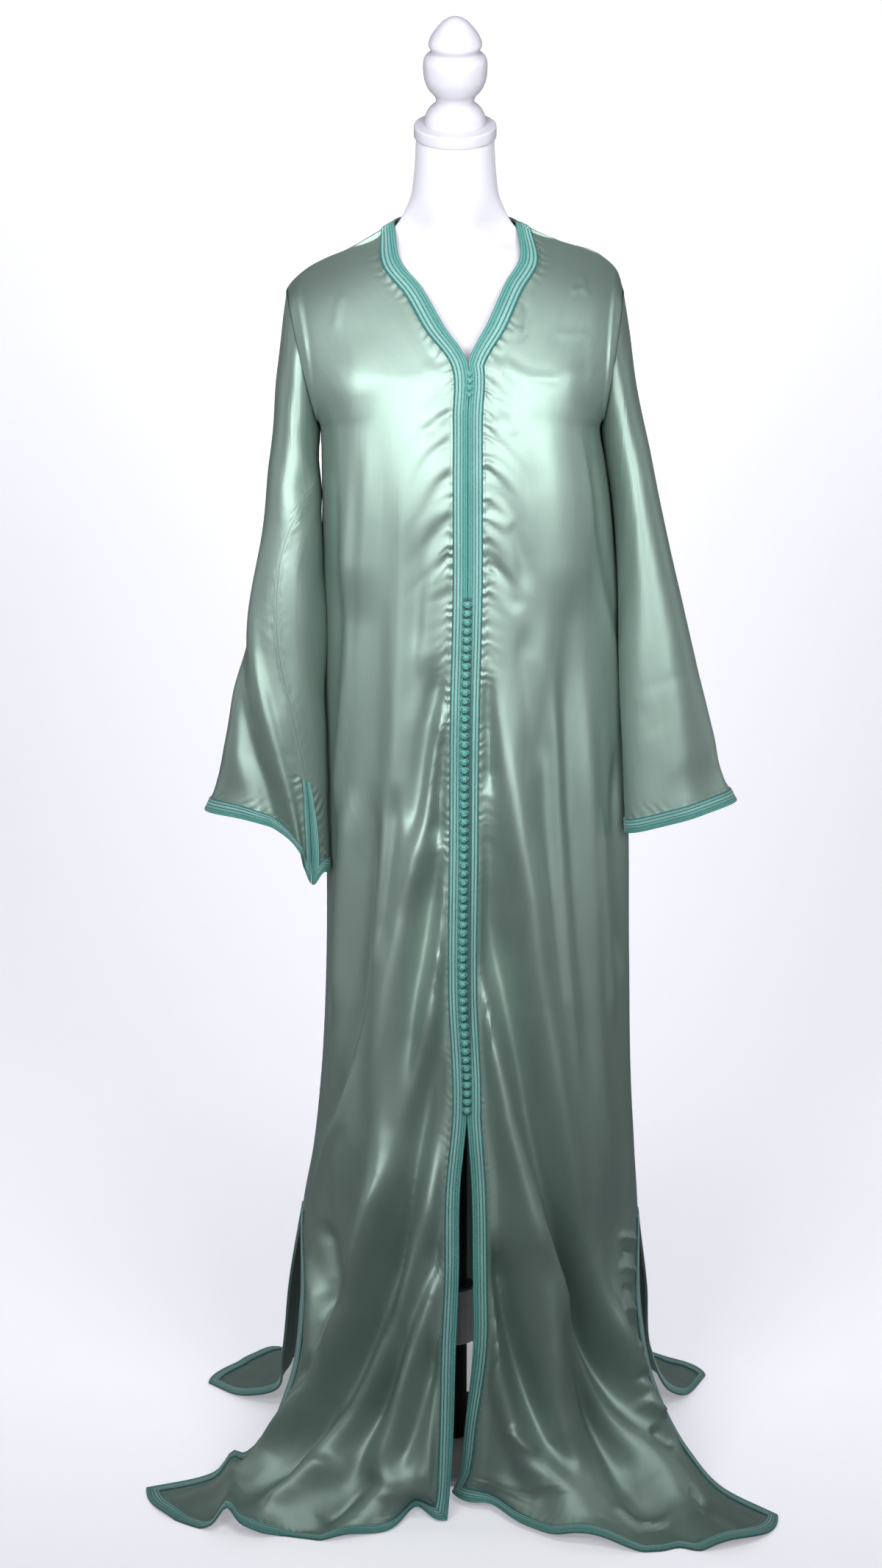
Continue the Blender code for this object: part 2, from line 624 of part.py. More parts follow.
def back_grid(table, folds):
    """Grid of the back, from the nape to the hem; its top rows are a braid's cells."""
    columns = [banded_columns(back_section(row), BRAID_WIDTH, BRAID_WIDTH, BACK_CELLS)
               for row in table]
    rows = skin(np.array(columns), table)
    top = []
    for column in range(rows.shape[1]):
        nape = rows[:BRAID_CELLS, column]
        top.append(points_at(nape, np.linspace(0, BRAID_WIDTH, BRAID_CELLS + 1)))
    points = np.concatenate([np.stack(top, axis=1), rows[1:]])
    points = keep_off_floor(add_folds(points, False, folds))
    tip, armpit, slit = (rows_before(table, name) + BRAID_CELLS
                         for name in ("tip", "armpit", "side_slit"))
    for side, column in (("right", 0), ("left", -1)):
        line = np.abs(shoulder_section(side))
        edge = points[:tip + 1, column]
        edge[:, 2] = np.interp(np.abs(edge[:, 0]), line[:, 0], line[:, 2])
    normals = outward(points, False)
    for side, column in (("right", 0), ("left", -1)):
        flatten(normals, (slice(0, tip + 1), column), (0, 1, 0))
        flatten(normals, (slice(tip, armpit + 1), column), armhole_plane(side))
        flatten(normals, (slice(armpit, slit + 1), column), (0, 1, 0))
        flatten(normals, (slice(tip, tip + 1), column), (0, 1, 0))
        points[tip:armpit + 1, column] -= armhole_plane(side) * SEAM
        points[:tip + 1, column, 1] = SEAM
        points[armpit:slit + 1, column, 1] = SEAM
    return Grid(points, normals, slit)


def sleeve_grid(side, table, folds):
    """Grid of one sleeve, from the armhole to the cuff."""
    columns = [banded_columns(sleeve_section(row), BRAID_WIDTH, BRAID_WIDTH, SLEEVE_CELLS)
               for row in table]
    points = skin(np.array(columns), table)
    turned = side == "right"
    points = add_folds(points, turned, folds)
    slit = rows_before(table, "slit")
    normals = outward(points, turned)
    seam_normals = normals[:, 0] + normals[:, -1]
    seam_normals /= np.linalg.norm(seam_normals, axis=1, keepdims=True)
    normals[:, 0] = seam_normals
    normals[:, -1] = seam_normals
    flatten(normals, (0, slice(None)), armhole_plane(side))
    points[0] += armhole_plane(side) * SEAM
    return Grid(points, normals, slit)


# --------------------------------------------------------------------- solids

def closed_mesh(name, outer, inner, chosen):
    """Closed solid between two grids, over the chosen cells."""
    rows, columns = chosen.shape
    used = np.zeros((rows + 1, columns + 1), dtype=bool)
    for row_shift in (0, 1):
        for column_shift in (0, 1):
            used[row_shift:rows + row_shift, column_shift:columns + column_shift] |= chosen
    index = np.full(used.shape, -1)
    index[used] = np.arange(used.sum())
    count = int(used.sum())
    vertices = np.concatenate([outer[used], inner[used]])
    faces = []

    def corner(row, column):
        return int(index[row, column])

    for row in range(rows):
        for column in range(columns):
            if not chosen[row, column]:
                continue
            a, b = corner(row, column), corner(row, column + 1)
            c, d = corner(row + 1, column + 1), corner(row + 1, column)
            faces += [(a, b, c), (a, c, d)]
            faces += [(a + count, c + count, b + count), (a + count, d + count, c + count)]
            sides = ((row - 1, column, a, b), (row, column + 1, b, c),
                     (row + 1, column, c, d), (row, column - 1, d, a))
            for near_row, near_column, start, end in sides:
                inside = 0 <= near_row < rows and 0 <= near_column < columns
                if not (inside and chosen[near_row, near_column]):
                    faces += [(start, start + count, end + count), (start, end + count, end)]
    mesh = bpy.data.meshes.new(name)
    mesh.from_pydata([tuple(v) for v in vertices], [], faces)
    work = bmesh.new()
    work.from_mesh(mesh)
    if work.calc_volume(signed=True) < 0:
        bmesh.ops.reverse_faces(work, faces=work.faces)
    work.to_mesh(mesh)
    work.free()
    return mesh


def add_object(name, mesh, material, collection, sharp=SHARP_CLOTH):
    """Put a mesh in the collection as a smooth shaded object."""
    mesh.shade_smooth()
    mesh.set_sharp_from_angle(angle=math.radians(sharp))
    thing = bpy.data.objects.new(name, mesh)
    thing.data.materials.append(material)
    collection.objects.link(thing)
    return thing


def cloth_panel(name, grid, material, collection):
    """Wall of cloth over the whole grid."""
    rows, columns = grid.points.shape[:2]
    cells = np.ones((rows - 1, columns - 1), dtype=bool)
    inner = grid.points - grid.normals * CLOTH
    return add_object(name, closed_mesh(name, grid.points, inner, cells), material, collection)


def braid_on(name, grid, edges, material, collection):
    """Ribbed braid along some edges of a panel, from the panel's own points.

    edges names top, hem, first and last; first_slit and last_slit run only
    below the top of the slit.
    """
    rows, columns = grid.points.shape[:2]
    row_index, column_index = np.indices((rows, columns))
    below_slit = row_index >= grid.slit_row
    distances = {
        "top": row_index,
        "hem": rows - 1 - row_index,
        "first": column_index,
        "last": columns - 1 - column_index,
        "first_slit": np.where(below_slit, column_index, BRAID_CELLS + 1),
        "last_slit": np.where(below_slit, columns - 1 - column_index, BRAID_CELLS + 1),
    }
    step = np.minimum.reduce([distances[edge] for edge in edges])
    chosen = np.zeros((rows - 1, columns - 1), dtype=bool)
    for edge in edges:
        near = distances[edge] <= BRAID_CELLS
        chosen |= near[:-1, :-1] & near[1:, :-1] & near[:-1, 1:] & near[1:, 1:]
    height = np.array(BRAID_RIBS)[np.minimum(step, BRAID_CELLS)]
    base = grid.points + grid.normals * BRAID_LIFT
    face = grid.points + grid.normals * (BRAID_LIFT + height)[:, :, None]
    return add_object(name, closed_mesh(name, face, base, chosen), material, collection)


def knot_row(name, path, count, radius, material, collection):
    """Knots on their cord: one turned body that swells at each knot."""
    along = lengths_along(path)[-1]
    pitch = along / count
    rings = []
    for knot in range(count):
        start = knot * pitch
        rings += [(start + pitch * CORD_SHARE, BUTTON_CORD), (start + pitch * KNOT_SHARE, radius)]
    rings.append((along, BUTTON_CORD))
    centres = points_at(path, np.array([place for place, _ in rings]))
    work = bmesh.new()
    loops = []
    for centre, (_, size) in zip(centres, rings):
        loop = []
        for side in range(BUTTON_SIDES):
            turn = 2 * math.pi * side / BUTTON_SIDES
            round_it = np.array([math.cos(turn), math.sin(turn), 0])
            loop.append(work.verts.new(centre + size * round_it))
        loops.append(loop)
    for upper, lower in zip(loops, loops[1:]):
        for side in range(BUTTON_SIDES):
            after = (side + 1) % BUTTON_SIDES
            work.faces.new((upper[side], lower[side], lower[after], upper[after]))
    work.faces.new(loops[0])
    work.faces.new(list(reversed(loops[-1])))
    mesh = bpy.data.meshes.new(name)
    work.to_mesh(mesh)
    work.free()
    return add_object(name, mesh, material, collection, sharp=SHARP_KNOT)


def placket_path(grid, top, bottom, stand_off):
    """Line down the middle of the placket, in front of the braid."""
    edge = grid.points[:, 0]
    levels = np.linspace(top, bottom, PATH_SAMPLES)
    order = np.argsort(edge[:, 2])
    y = np.interp(levels, edge[order, 2], edge[order, 1])
    x = np.interp(levels, edge[order, 2], edge[order, 0]) + SEAM
    return np.stack([x, y - stand_off, levels], axis=1)


# ----------------------------------------------------------------- dress form

def form_ring(row):
    """Ring of the dress form at one level, in metres."""
    ring = []
    for side in range(FORM_SIDES):
        turn = 2 * math.pi * side / FORM_SIDES
        cosine, sine = math.cos(turn), math.sin(turn)
        fullness = (1 - row.pinch) * abs(sine) + row.pinch * (1 + math.cos(math.pi * cosine)) / 2
        depth = fullness * (row.back if sine > 0 else row.front)
        ring.append((row.half_width * cosine * MM, depth * MM, row.z * MM))
    return ring


def form_levels():
    """All levels of the form, with shoulders just under the cloth."""
    below = (CLOTH + FORM_GAP) / MM
    rows = list(FORM)
    for level in FORM_SHOULDERS:
        x, z = SHOULDERS["right"][level.step]
        rows.append(FormRow(z - below - level.drop, x - FORM_SHOULDER_INSET,
                            level.front, level.back, level.pinch))
    return rows + list(FORM_TOP)


def torso(material, collection):
    """Closed body of the form, from the hip to the top of the neck."""
    work = bmesh.new()
    loops = [[work.verts.new(point) for point in form_ring(row)] for row in form_levels()]
    for vertex in loops[-1]:
        vertex.co.z += vertex.co.y * math.tan(CAP_TILT)
    for lower, upper in zip(loops, loops[1:]):
        for side in range(FORM_SIDES):
            after = (side + 1) % FORM_SIDES
            work.faces.new((lower[side], lower[after], upper[after], upper[side]))
    work.faces.new(list(reversed(loops[0])))
    work.faces.new(loops[-1])
    mesh = bpy.data.meshes.new("torso")
    work.to_mesh(mesh)
    work.free()
    return add_object("torso", mesh, material, collection)


def turned(name, profile, sides, material, collection):
    """Turned solid from a profile of radius and height, listed top to bottom."""
    mesh = bpy.data.meshes.new(name)
    points = [(radius * MM, 0, height * MM) for radius, height in profile]
    mesh.from_pydata(points, [(i, i + 1) for i in range(len(points) - 1)], [])
    thing = bpy.data.objects.new(name, mesh)
    collection.objects.link(thing)
    screw = thing.modifiers.new("turn", "SCREW")
    screw.axis = "Z"
    screw.steps = screw.render_steps = sides
    screw.use_merge_vertices = True
    screw.merge_threshold = 0.0001
    screw.use_smooth_shade = True
    thing.data.materials.append(material)
    return thing


def cylinder(name, radius, bottom, top, sides, material, collection, bevel=0.0):
    """Round bar or plate, with an optional rounded edge."""
    work = bmesh.new()
    bmesh.ops.create_cone(work, cap_ends=True, segments=sides, radius1=radius, radius2=radius,
                          depth=top - bottom)
    mesh = bpy.data.meshes.new(name)
    work.to_mesh(mesh)
    work.free()
    thing = add_object(name, mesh, material, collection)
    thing.location.z = (top + bottom) / 2
    if bevel:
        edge = thing.modifiers.new("edge", "BEVEL")
        edge.width = bevel
        edge.segments = 1
        edge.limit_method = "ANGLE"
    return thing


def stand(paint, grey, steel, collection):
    """Neck cap, finial, collar, pole and foot of the dress form."""
    cap = cylinder("neck_cap", CAP_RADIUS, 0, CAP_HEIGHT, CAP_SIDES, paint, collection, SMALL_BEVEL)
    cap.rotation_euler.x = CAP_TILT
    cap.location.z = NECK_TOP + (FORM_GAP + CAP_HEIGHT / 2) / math.cos(CAP_TILT)
    finial = turned("finial", FINIAL, FINIAL_SIDES, paint, collection)
    finial.rotation_euler.x = CAP_TILT
    finial.location.z = NECK_TOP + (2 * FORM_GAP + CAP_HEIGHT) / math.cos(CAP_TILT)
    foot = FORM[0].z * MM
    pole_ends = (COLLAR_TOP + FORM_GAP, foot - FORM_GAP)
    stem_ends = (BASE_HEIGHT + FORM_GAP, COLLAR_BOTTOM - FORM_GAP)
    cylinder("pole", POLE_RADIUS, *pole_ends, POLE_SIDES, steel, collection)
    cylinder("collar", COLLAR_RADIUS, COLLAR_BOTTOM, COLLAR_TOP, COLLAR_SIDES, grey, collection,
             SMALL_BEVEL)
    cylinder("stem", POLE_RADIUS, *stem_ends, POLE_SIDES, steel, collection)
    cylinder("base", BASE_RADIUS, 0, BASE_HEIGHT, BASE_SIDES, grey, collection, BASE_BEVEL)


def material(name, colour, roughness, metallic=0.0):
    """Principled material from an sRGB hex colour."""
    channels = [int(colour[i:i + 2], 16) / 255 for i in (0, 2, 4)]
    linear = [c / 12.92 if c <= 0.04045 else ((c + 0.055) / 1.055) ** 2.4 for c in channels]
    finish = bpy.data.materials.new(name)
    finish.use_nodes = True
    shader = finish.node_tree.nodes["Principled BSDF"]
    shader.inputs["Base Color"].default_value = (*linear, 1)
    shader.inputs["Roughness"].default_value = roughness
    shader.inputs["Metallic"].default_value = metallic
    return finish


def build():
    """Build every piece of the kaftan and its dress form."""
    for thing in list(bpy.data.objects):
        bpy.data.objects.remove(thing)
    collection = bpy.data.collections.new("moroccan_kaftan")
    bpy.context.scene.collection.children.link(collection)
    satin = material("satin", "8fa99c", 0.32)
    braid = material("braid", "4f9488", 0.6)
    cord = material("buttons", "539a8d", 0.5)
    cover = material("form_cover", "f0eff5", 0.6)
    paint = material("white_paint", "f0eff5", 0.35)
    grey = material("foot_paint", "9d9da0", 0.5)
    steel = material("black_steel", "202225", 0.4, 0.8)

    front_right = front_grid("right", FRONT_RIGHT, FOLDS_FRONT_RIGHT)
    front_left = front_grid("left", FRONT_LEFT, FOLDS_FRONT_LEFT, mate=front_right)
    part_placket(front_right, front_left)
    back = back_grid(BACK, FOLDS_BACK)
    sleeve_right = sleeve_grid("right", SLEEVE_RIGHT, FOLDS_SLEEVE_RIGHT)
    sleeve_left = sleeve_grid("left", SLEEVE_LEFT, FOLDS_SLEEVE_LEFT)

    cloth_panel("front_right", front_right, satin, collection)
    cloth_panel("front_left", front_left, satin, collection)
    cloth_panel("back", back, satin, collection)
    cloth_panel("sleeve_right", sleeve_right, satin, collection)
    cloth_panel("sleeve_left", sleeve_left, satin, collection)
    open_front = ("first", "hem", "last_slit")
    two_slits = ("hem", "first_slit", "last_slit")
    braid_on("braid_front_right", front_right, open_front, braid, collection)
    braid_on("braid_front_left", front_left, open_front, braid, collection)
    braid_on("braid_back_neck", back, ("top",), braid, collection)
    braid_on("braid_back_hem", back, two_slits, braid, collection)
    braid_on("braid_cuff_right", sleeve_right, two_slits, braid, collection)
    braid_on("braid_cuff_left", sleeve_left, two_slits, braid, collection)

    rise = BRAID_LIFT + BRAID_RIBS[0] + BRAID_LIFT
    row_path = placket_path(front_right, BUTTON_TOP, BUTTON_BOTTOM, rise + BUTTON_RADIUS)
    knot_row("buttons_front", row_path, BUTTON_COUNT, BUTTON_RADIUS, cord, collection)
    neck_path = placket_path(front_right, NECK_BUTTON_TOP, NECK_BUTTON_BOTTOM,
                             rise + NECK_BUTTON_RADIUS)
    knot_row("buttons_neck", neck_path, NECK_BUTTON_COUNT, NECK_BUTTON_RADIUS, cord, collection)

    torso(cover, collection)
    stand(paint, grey, steel, collection)


build()
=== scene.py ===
"""A Moroccan kaftan on a limbless dress form, in a plain white studio.

Each cut-and-sewn piece of satin is a thin shell on its solid's form: a fine grid
through the same sections as the solid, with the folds, gathers, creases and seam
puckers of the hung cloth laid on it.  The braid is swept from the panels' own
points, and knotted buttons and stitches are repeated by Geometry Nodes.

Frame: metres, +Z up, the front faces -Y and the wearer's left is +X.  Tables are
in millimetres and degrees.
"""
import json
import logging
import math
from dataclasses import dataclass
from enum import Enum
from typing import NamedTuple

import bmesh
import bpy
import numpy as np
from bpy.types import ID, Material, Mesh, Node, NodeOutputs, NodeSocket, NodeTree, Object
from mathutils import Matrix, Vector

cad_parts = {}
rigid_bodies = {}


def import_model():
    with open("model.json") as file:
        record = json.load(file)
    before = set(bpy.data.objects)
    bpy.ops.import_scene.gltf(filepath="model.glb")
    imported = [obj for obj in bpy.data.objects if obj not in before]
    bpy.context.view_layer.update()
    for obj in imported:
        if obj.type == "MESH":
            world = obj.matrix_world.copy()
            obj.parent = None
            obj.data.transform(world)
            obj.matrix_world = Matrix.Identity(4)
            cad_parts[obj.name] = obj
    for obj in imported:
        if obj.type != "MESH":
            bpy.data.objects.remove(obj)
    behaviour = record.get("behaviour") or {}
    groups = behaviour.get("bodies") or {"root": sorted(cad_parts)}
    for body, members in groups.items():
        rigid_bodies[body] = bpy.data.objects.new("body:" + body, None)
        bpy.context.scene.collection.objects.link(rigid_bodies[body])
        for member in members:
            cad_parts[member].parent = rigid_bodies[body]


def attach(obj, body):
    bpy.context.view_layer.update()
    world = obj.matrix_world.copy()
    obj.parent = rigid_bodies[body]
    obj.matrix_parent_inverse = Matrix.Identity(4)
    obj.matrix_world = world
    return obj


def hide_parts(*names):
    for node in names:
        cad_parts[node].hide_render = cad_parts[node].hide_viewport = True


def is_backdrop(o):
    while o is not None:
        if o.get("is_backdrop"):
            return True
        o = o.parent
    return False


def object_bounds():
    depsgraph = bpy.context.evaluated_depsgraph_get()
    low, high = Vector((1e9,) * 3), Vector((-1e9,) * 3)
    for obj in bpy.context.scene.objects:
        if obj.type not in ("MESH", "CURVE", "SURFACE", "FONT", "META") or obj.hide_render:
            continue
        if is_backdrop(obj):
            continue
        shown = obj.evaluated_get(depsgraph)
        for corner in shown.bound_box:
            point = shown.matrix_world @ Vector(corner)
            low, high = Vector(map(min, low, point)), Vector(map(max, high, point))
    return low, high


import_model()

logger = logging.getLogger("kaftan")

MM = 0.001

# Cloth, seams and braid
CLOTH = 1.2 * MM
SEAM = 0.15 * MM
FLOOR_LIFT = 0.5 * MM
BRAID_WIDTH = 17 * MM
BRAID_CELLS = 15            # cells across the braid, in scene detail
BRAID_LIFT = 0.3 * MM
BRAID_BASE = 0.7 * MM       # thickness of the braid's ground
BRAID_CORD = 0.95 * MM      # how far its cords stand up
GROUND_SHARE = 0.5          # share of the braid's width that is plaited ground
GROUND_HEIGHT = 0.42        # of a cord's height
GROUND_RELIEF = 0.25
GROUND_ROWS = 3
CORD_SHARE = 0.25           # share of the braid's width under each outer cord
RIM_SHARE = 0.05
PLAIT_SHARE = 0.145         # share of the braid's width that slants one way
PLAIT_SLANT = 0.022         # metres along for each full width across
TWIST_PITCH = 2.3 * MM
TWIST_WANDER = 3.5
BUTTON_SHADE = 4.2 * MM    # half width of the painted shade behind the buttons
BUTTON_SHADE_EDGE = 6.4 * MM
BUTTON_SHADE_FADE = 4 * MM
BUTTON_SHADE_DEPTH = 0.8

# Knotted buttons
BUTTON_COUNT = 60
BUTTON_TOP = 1096 * MM
BUTTON_BOTTOM = 491 * MM
BUTTON_RADIUS = 3.9 * MM
NECK_BUTTON_COUNT = 4
NECK_BUTTON_TOP = 1352 * MM
NECK_BUTTON_BOTTOM = 1322 * MM
NECK_BUTTON_RADIUS = 2.9 * MM
PLACKET_X = 14 * MM

# Dress form
NECK_TOP = 1601.5 * MM
CAP_RADIUS = 47 * MM
CAP_HEIGHT = 15 * MM
CAP_TILT = math.radians(16)
FORM_GAP = 0.3 * MM
COVERED_BELOW = 1.32        # below this the form is hidden by the cloth, and set in a little
COVERED_EASE = 0.05
COVERED_FADE = 0.15
FORM_SHOULDER_INSET = 2.1
FORM_SHOULDER_DROP = 0.4

# Grids
ROW_PITCH = 4.2 * MM
FRONT_CELLS = 76            # cells across each panel between its two braids' widths
BACK_CELLS = 84
SLEEVE_CELLS = 84
SECTION_SAMPLES = 160
DROP_SAMPLES = 160
PATH_SAMPLES = 90
FINIAL_SAMPLES = 90
FORM_SIDES = 96
TINY = 1e-9

# Folds and gathers
FOLD_OVERRUN = 1.05
CALM_BELOW = 60 * MM
CALM_SHARE = 0.4
TIP_REACH = 18 * MM
ROUNDING_PASSES = 70
ROUNDING_ROWS = 7           # grid rows over which the rounding comes in
ROUNDING_COLUMNS = 6
GATHER_RAMP = 7             # how soon a run of gathers starts and stops
GATHER_EVEN = 0.62          # share of a gather's depth that is the same all along
GATHER_WANDER = 1.7
GATHER_OVERTONE = 0.28
GATHER_FADE = 1.6
FINE_PUCKER_PITCH = 12 * MM     # the puckers that are only bump, beside every seam
FINE_PUCKER_REACH = 26 * MM
FINE_PUCKER_WANDER = 9.0
FINE_PUCKER_FADE = 2.4
PUCKER_SEED_STEP = 11       # each kind of unevenness draws from its own seed
DRAPE_SEED_STEP = 23
SLEEVE_BAND = 6 * MM        # width of a sleeve's edge cells, except near the cuff
SLEEVE_BANDS = {"wrist": 11 * MM, "cuff": 12.5 * MM}
BROAD_EASE = 14 * MM        # how far from an edge creases reach their full depth
FINE_EASE = 7 * MM          # the same for puckers
CREASE_TAPER = 0.22         # share of a crease's length over which each end fades
PUCKER_PITCH = 17 * MM
PUCKER_REACH = 15 * MM
CRUMPLE_BELOW = 90 * MM
DRAPE_BELOW = 420 * MM      # distance down the cloth at which its unevenness is full
BUNCH_BELOW = 45 * MM

# Button loops and stitches
LOOP_POINTS = 22
LOOP_SIDES = 5
LOOP_CORD = 0.75 * MM
STITCH_PITCH = 3.6 * MM
STITCH_SIDES = 5
STITCH_RINGS = ((-1.15, 0.1), (-0.8, 0.28), (0.8, 0.28), (1.15, 0.1))
KNOT_TURNS = ((62, 20), (-58, 80), (18, 140), (90, 55))     # tilt and swing of each wrap

# Sharp edges, paper
SHARP_ANGLE = math.radians(50)
PAPER_FRONT = -0.48
PAPER_BEND = 1.3            # where the floor starts to curve up
PAPER_RADIUS = 1.1
PAPER_TOP = 5.5
PAPER_HALF = 6.0


class Side(Enum):
    """Side of the wearer."""
    RIGHT = "right"
    LEFT = "left"

    @property
    def sign(self) -> int:
        """-1 on the wearer's right, +1 on the left."""
        return 1 if self is Side.LEFT else -1


class Edge(Enum):
    """Edge of a panel that carries braid."""
    TOP = "top"
    HEM = "hem"
    FIRST = "first"
    FIRST_SLIT = "first_slit"
    LAST_SLIT = "last_slit"


class Held(Enum):
    """How a sheet of cloth is held."""
    DRAPED = "draped"
    GATHERED = "gathered"


class Armhole(NamedTuple):
    """Oval where a sleeve is set in; it lies in one slanted plane."""
    tip_x: float
    tip_z: float
    under_x: float
    under_z: float
    depth: float


class FrontRow(NamedTuple):
    """One section of a front panel, from its centre edge to its side."""
    name: str
    edge: tuple         # x, y, z on the neckline, placket or slit
    side: tuple         # x, y, z on the armhole, side seam or side slit
    square: float       # 2 is an ellipse, more is boxier
    bulge: float        # extra fullness forward, halfway round
    band: float         # braid width measured along this section


class BackRow(NamedTuple):
    """One section of the back panel, from the wearer's right to the left."""
    name: str
    right: tuple        # x, y, z
    left: tuple
    middle: tuple       # y, z
    square: float


class SleeveRow(NamedTuple):
    """One ring of a sleeve; out is away from the body."""
    name: str
    out: tuple          # x, z
    inn: tuple          # x, z
    mid_y: float
    depth: float        # half the ring's depth, front to back
    seam: float         # angle of the seam: 0 outside, 90 front, 180 inside
    droop: float        # 1 keeps the ring flat, more drops only its inner side
    gap: float          # how far the slit is open here
    tip: float          # how far the slit's corners hang below the ring


class Fold(NamedTuple):
    """A long soft ridge (or trough, if depth is negative) down a panel."""
    top_z: float
    top_u: float        # 0 at the first column, 1 at the last
    low_z: float
    low_u: float
    width: float
    depth: float        # at the low end; it grows from nothing at the top


class Gather(NamedTuple):
    """Puckers that run into the placket where the satin is drawn up."""
    top_z: float
    low_z: float
    pitch: float
    reach: float        # how far they run into the panel
    depth: float
    sweep: float        # how steeply each pucker falls as it leaves the placket
    curl: float         # how much more steeply further out, per metre


class FormRow(NamedTuple):
    """One level of the dress form."""
    z: float
    half_width: float
    front: float
    back: float
    pinch: float = 0.0      # 0 is an oval, 1 is thin at the shoulders and full at the neck


class HemWave(NamedTuple):
    """A place where the hem is drawn back on the floor."""
    x: float
    width: float
    back: float
    rise: float             # how far it lifts, as a share of how far it moves


HEM_WAVES = {
    "right": (HemWave(-46, 19, 44, 0.12), HemWave(-268, 11, 30, 0.5), HemWave(-150, 26, -7, 0.0),
              HemWave(-205, 16, 6, 0.3)),
    "left": (HemWave(44, 22, 24, 0.1), HemWave(120, 24, -8, 0.0), HemWave(262, 14, 9, 0.7),
             HemWave(205, 30, -6, 0.0)),
}

ARMHOLES = {
    "right": Armhole(tip_x=-192.5, tip_z=1431, under_x=-155.5, under_z=1270, depth=68),
    "left": Armhole(tip_x=192.5, tip_z=1431, under_x=168, under_z=1270, depth=68),
}

# The shoulder lines from the side of the neck to the sleeve: distance from the centre, z
SHOULDERS = {
    "right": ((69.5, 1505), (92, 1486.5), (121, 1476), (149, 1465), (170, 1453.5),
              (184.5, 1441), (192.5, 1431)),
    "left": ((69.5, 1505), (92, 1493), (121, 1484.5), (149, 1476), (170, 1466.5),
             (184.5, 1453), (192.5, 1431)),
}


def armhole_point(side: str, degrees: float) -> tuple:
    """Point on an armhole; 0 at the shoulder, 180 under the arm, front first."""
    hole = ARMHOLES[side]
    turn = math.radians(degrees)
    share = (1 - math.cos(turn)) / 2
    return (hole.tip_x + (hole.under_x - hole.tip_x) * share,
            -hole.depth * math.sin(turn),
            hole.tip_z + (hole.under_z - hole.tip_z) * share)


NECK_RIGHT = (-SHOULDERS["right"][0][0], 0, SHOULDERS["right"][0][1])
NECK_LEFT = (SHOULDERS["left"][0][0], 0, SHOULDERS["left"][0][1])

FRONT_RIGHT = (
    FrontRow("shoulder", NECK_RIGHT, armhole_point("right", 0), 2.0, 0, 20),
    FrontRow("collar", (-61, -41, 1465), armhole_point("right", 42), 2.0, 9, 22),
    FrontRow("collarbone", (-37, -62, 1437), armhole_point("right", 75), 2.0, 17, 22),
    FrontRow("chest", (-13, -91, 1399), armhole_point("right", 108), 2.1, 20, 22),
    FrontRow("v_point", (14, -112, 1359), armhole_point("right", 140), 2.2, 17, 19),
    FrontRow("armpit", (14, -128, 1300), armhole_point("right", 180), 2.4, 9, 17),
    FrontRow("bust", (14, -140, 1228), (-154, 0, 1196), 2.5, 4, 17),
    FrontRow("waist", (14, -143, 1103), (-156, 0, 1090), 2.5, 0, 17),
    FrontRow("hip", (11, -146, 960), (-155, 0, 950), 2.5, 0, 17),
    FrontRow("thigh", (10, -150, 800), (-152, 0, 795), 2.5, 0, 17),
    FrontRow("lap", (9, -156, 640), (-153, 0, 640), 2.4, 0, 17),
    FrontRow("knee", (14, -166, 488), (-161, 0, 485), 2.2, 1, 17),
    FrontRow("shin", (6, -175, 395), (-171, 0, 394), 1.9, 4, 17),
    FrontRow("side_slit", (5, -183, 300), (-185, -1, 313), 1.55, 8, 17),
    FrontRow("calf", (1, -192, 203), (-186, -58, 212), 1.3, 10, 17),
    FrontRow("ankle", (-2, -203, 105), (-202, -74, 110), 1.3, 18, 17),
    FrontRow("touch", (-6, -212, 36), (-241, -94, 40), 1.5, 34, 17),
    FrontRow("floor", (-8, -220, 10), (-300, -115, 9), 1.8, 50, 17),
    FrontRow("hem", (-9, -222, 2), (-372, -135, 2), 1.7, 68, 17),
)

FRONT_LEFT = (
    FrontRow("shoulder", NECK_LEFT, armhole_point("left", 0), 2.0, 0, 20),
    FrontRow("collar", (73, -36, 1468), armhole_point("left", 42), 2.0, 9, 22),
    FrontRow("collarbone", (57, -57, 1443), armhole_point("left", 75), 2.0, 17, 22),
    FrontRow("chest", (36, -89, 1401), armhole_point("left", 108), 2.1, 20, 22),
    FrontRow("v_point", (14, -112, 1359), armhole_point("left", 140), 2.2, 17, 19),
    FrontRow("armpit", (14, -128, 1300), armhole_point("left", 180), 2.4, 9, 17),
    FrontRow("bust", (14, -140, 1228), (180, 0, 1196), 2.5, 4, 17),
    FrontRow("waist", (14, -143, 1103), (190, 0, 1090), 2.5, 0, 17),
    FrontRow("hip", (11, -146, 960), (197, 0, 950), 2.5, 0, 17),
    FrontRow("thigh", (10, -150, 800), (204, 0, 795), 2.5, 0, 17),
    FrontRow("lap", (9, -156, 640), (207, 0, 640), 2.4, 0, 17),
    FrontRow("knee", (14, -166, 488), (212, 0, 485), 2.2, 1, 17),
    FrontRow("shin", (20, -172, 395), (219, 0, 394), 1.9, 4, 17),
    FrontRow("side_slit", (21.5, -177, 300), (225, -1, 305), 1.55, 10, 17),
    FrontRow("calf", (22.5, -178, 203), (226, -58, 205), 1.3, 18, 17),
    FrontRow("ankle", (14, -172, 105), (246, -80, 108), 1.3, 40, 17),
    FrontRow("touch", (8, -168, 42), (285, -108, 38), 1.45, 70, 17),
    FrontRow("floor", (1, -163, 18), (320, -144, 9), 1.4, 100, 17),
    FrontRow("hem", (-2, -160, 9), (384, -209, 2), 1.35, 120, 17),
)

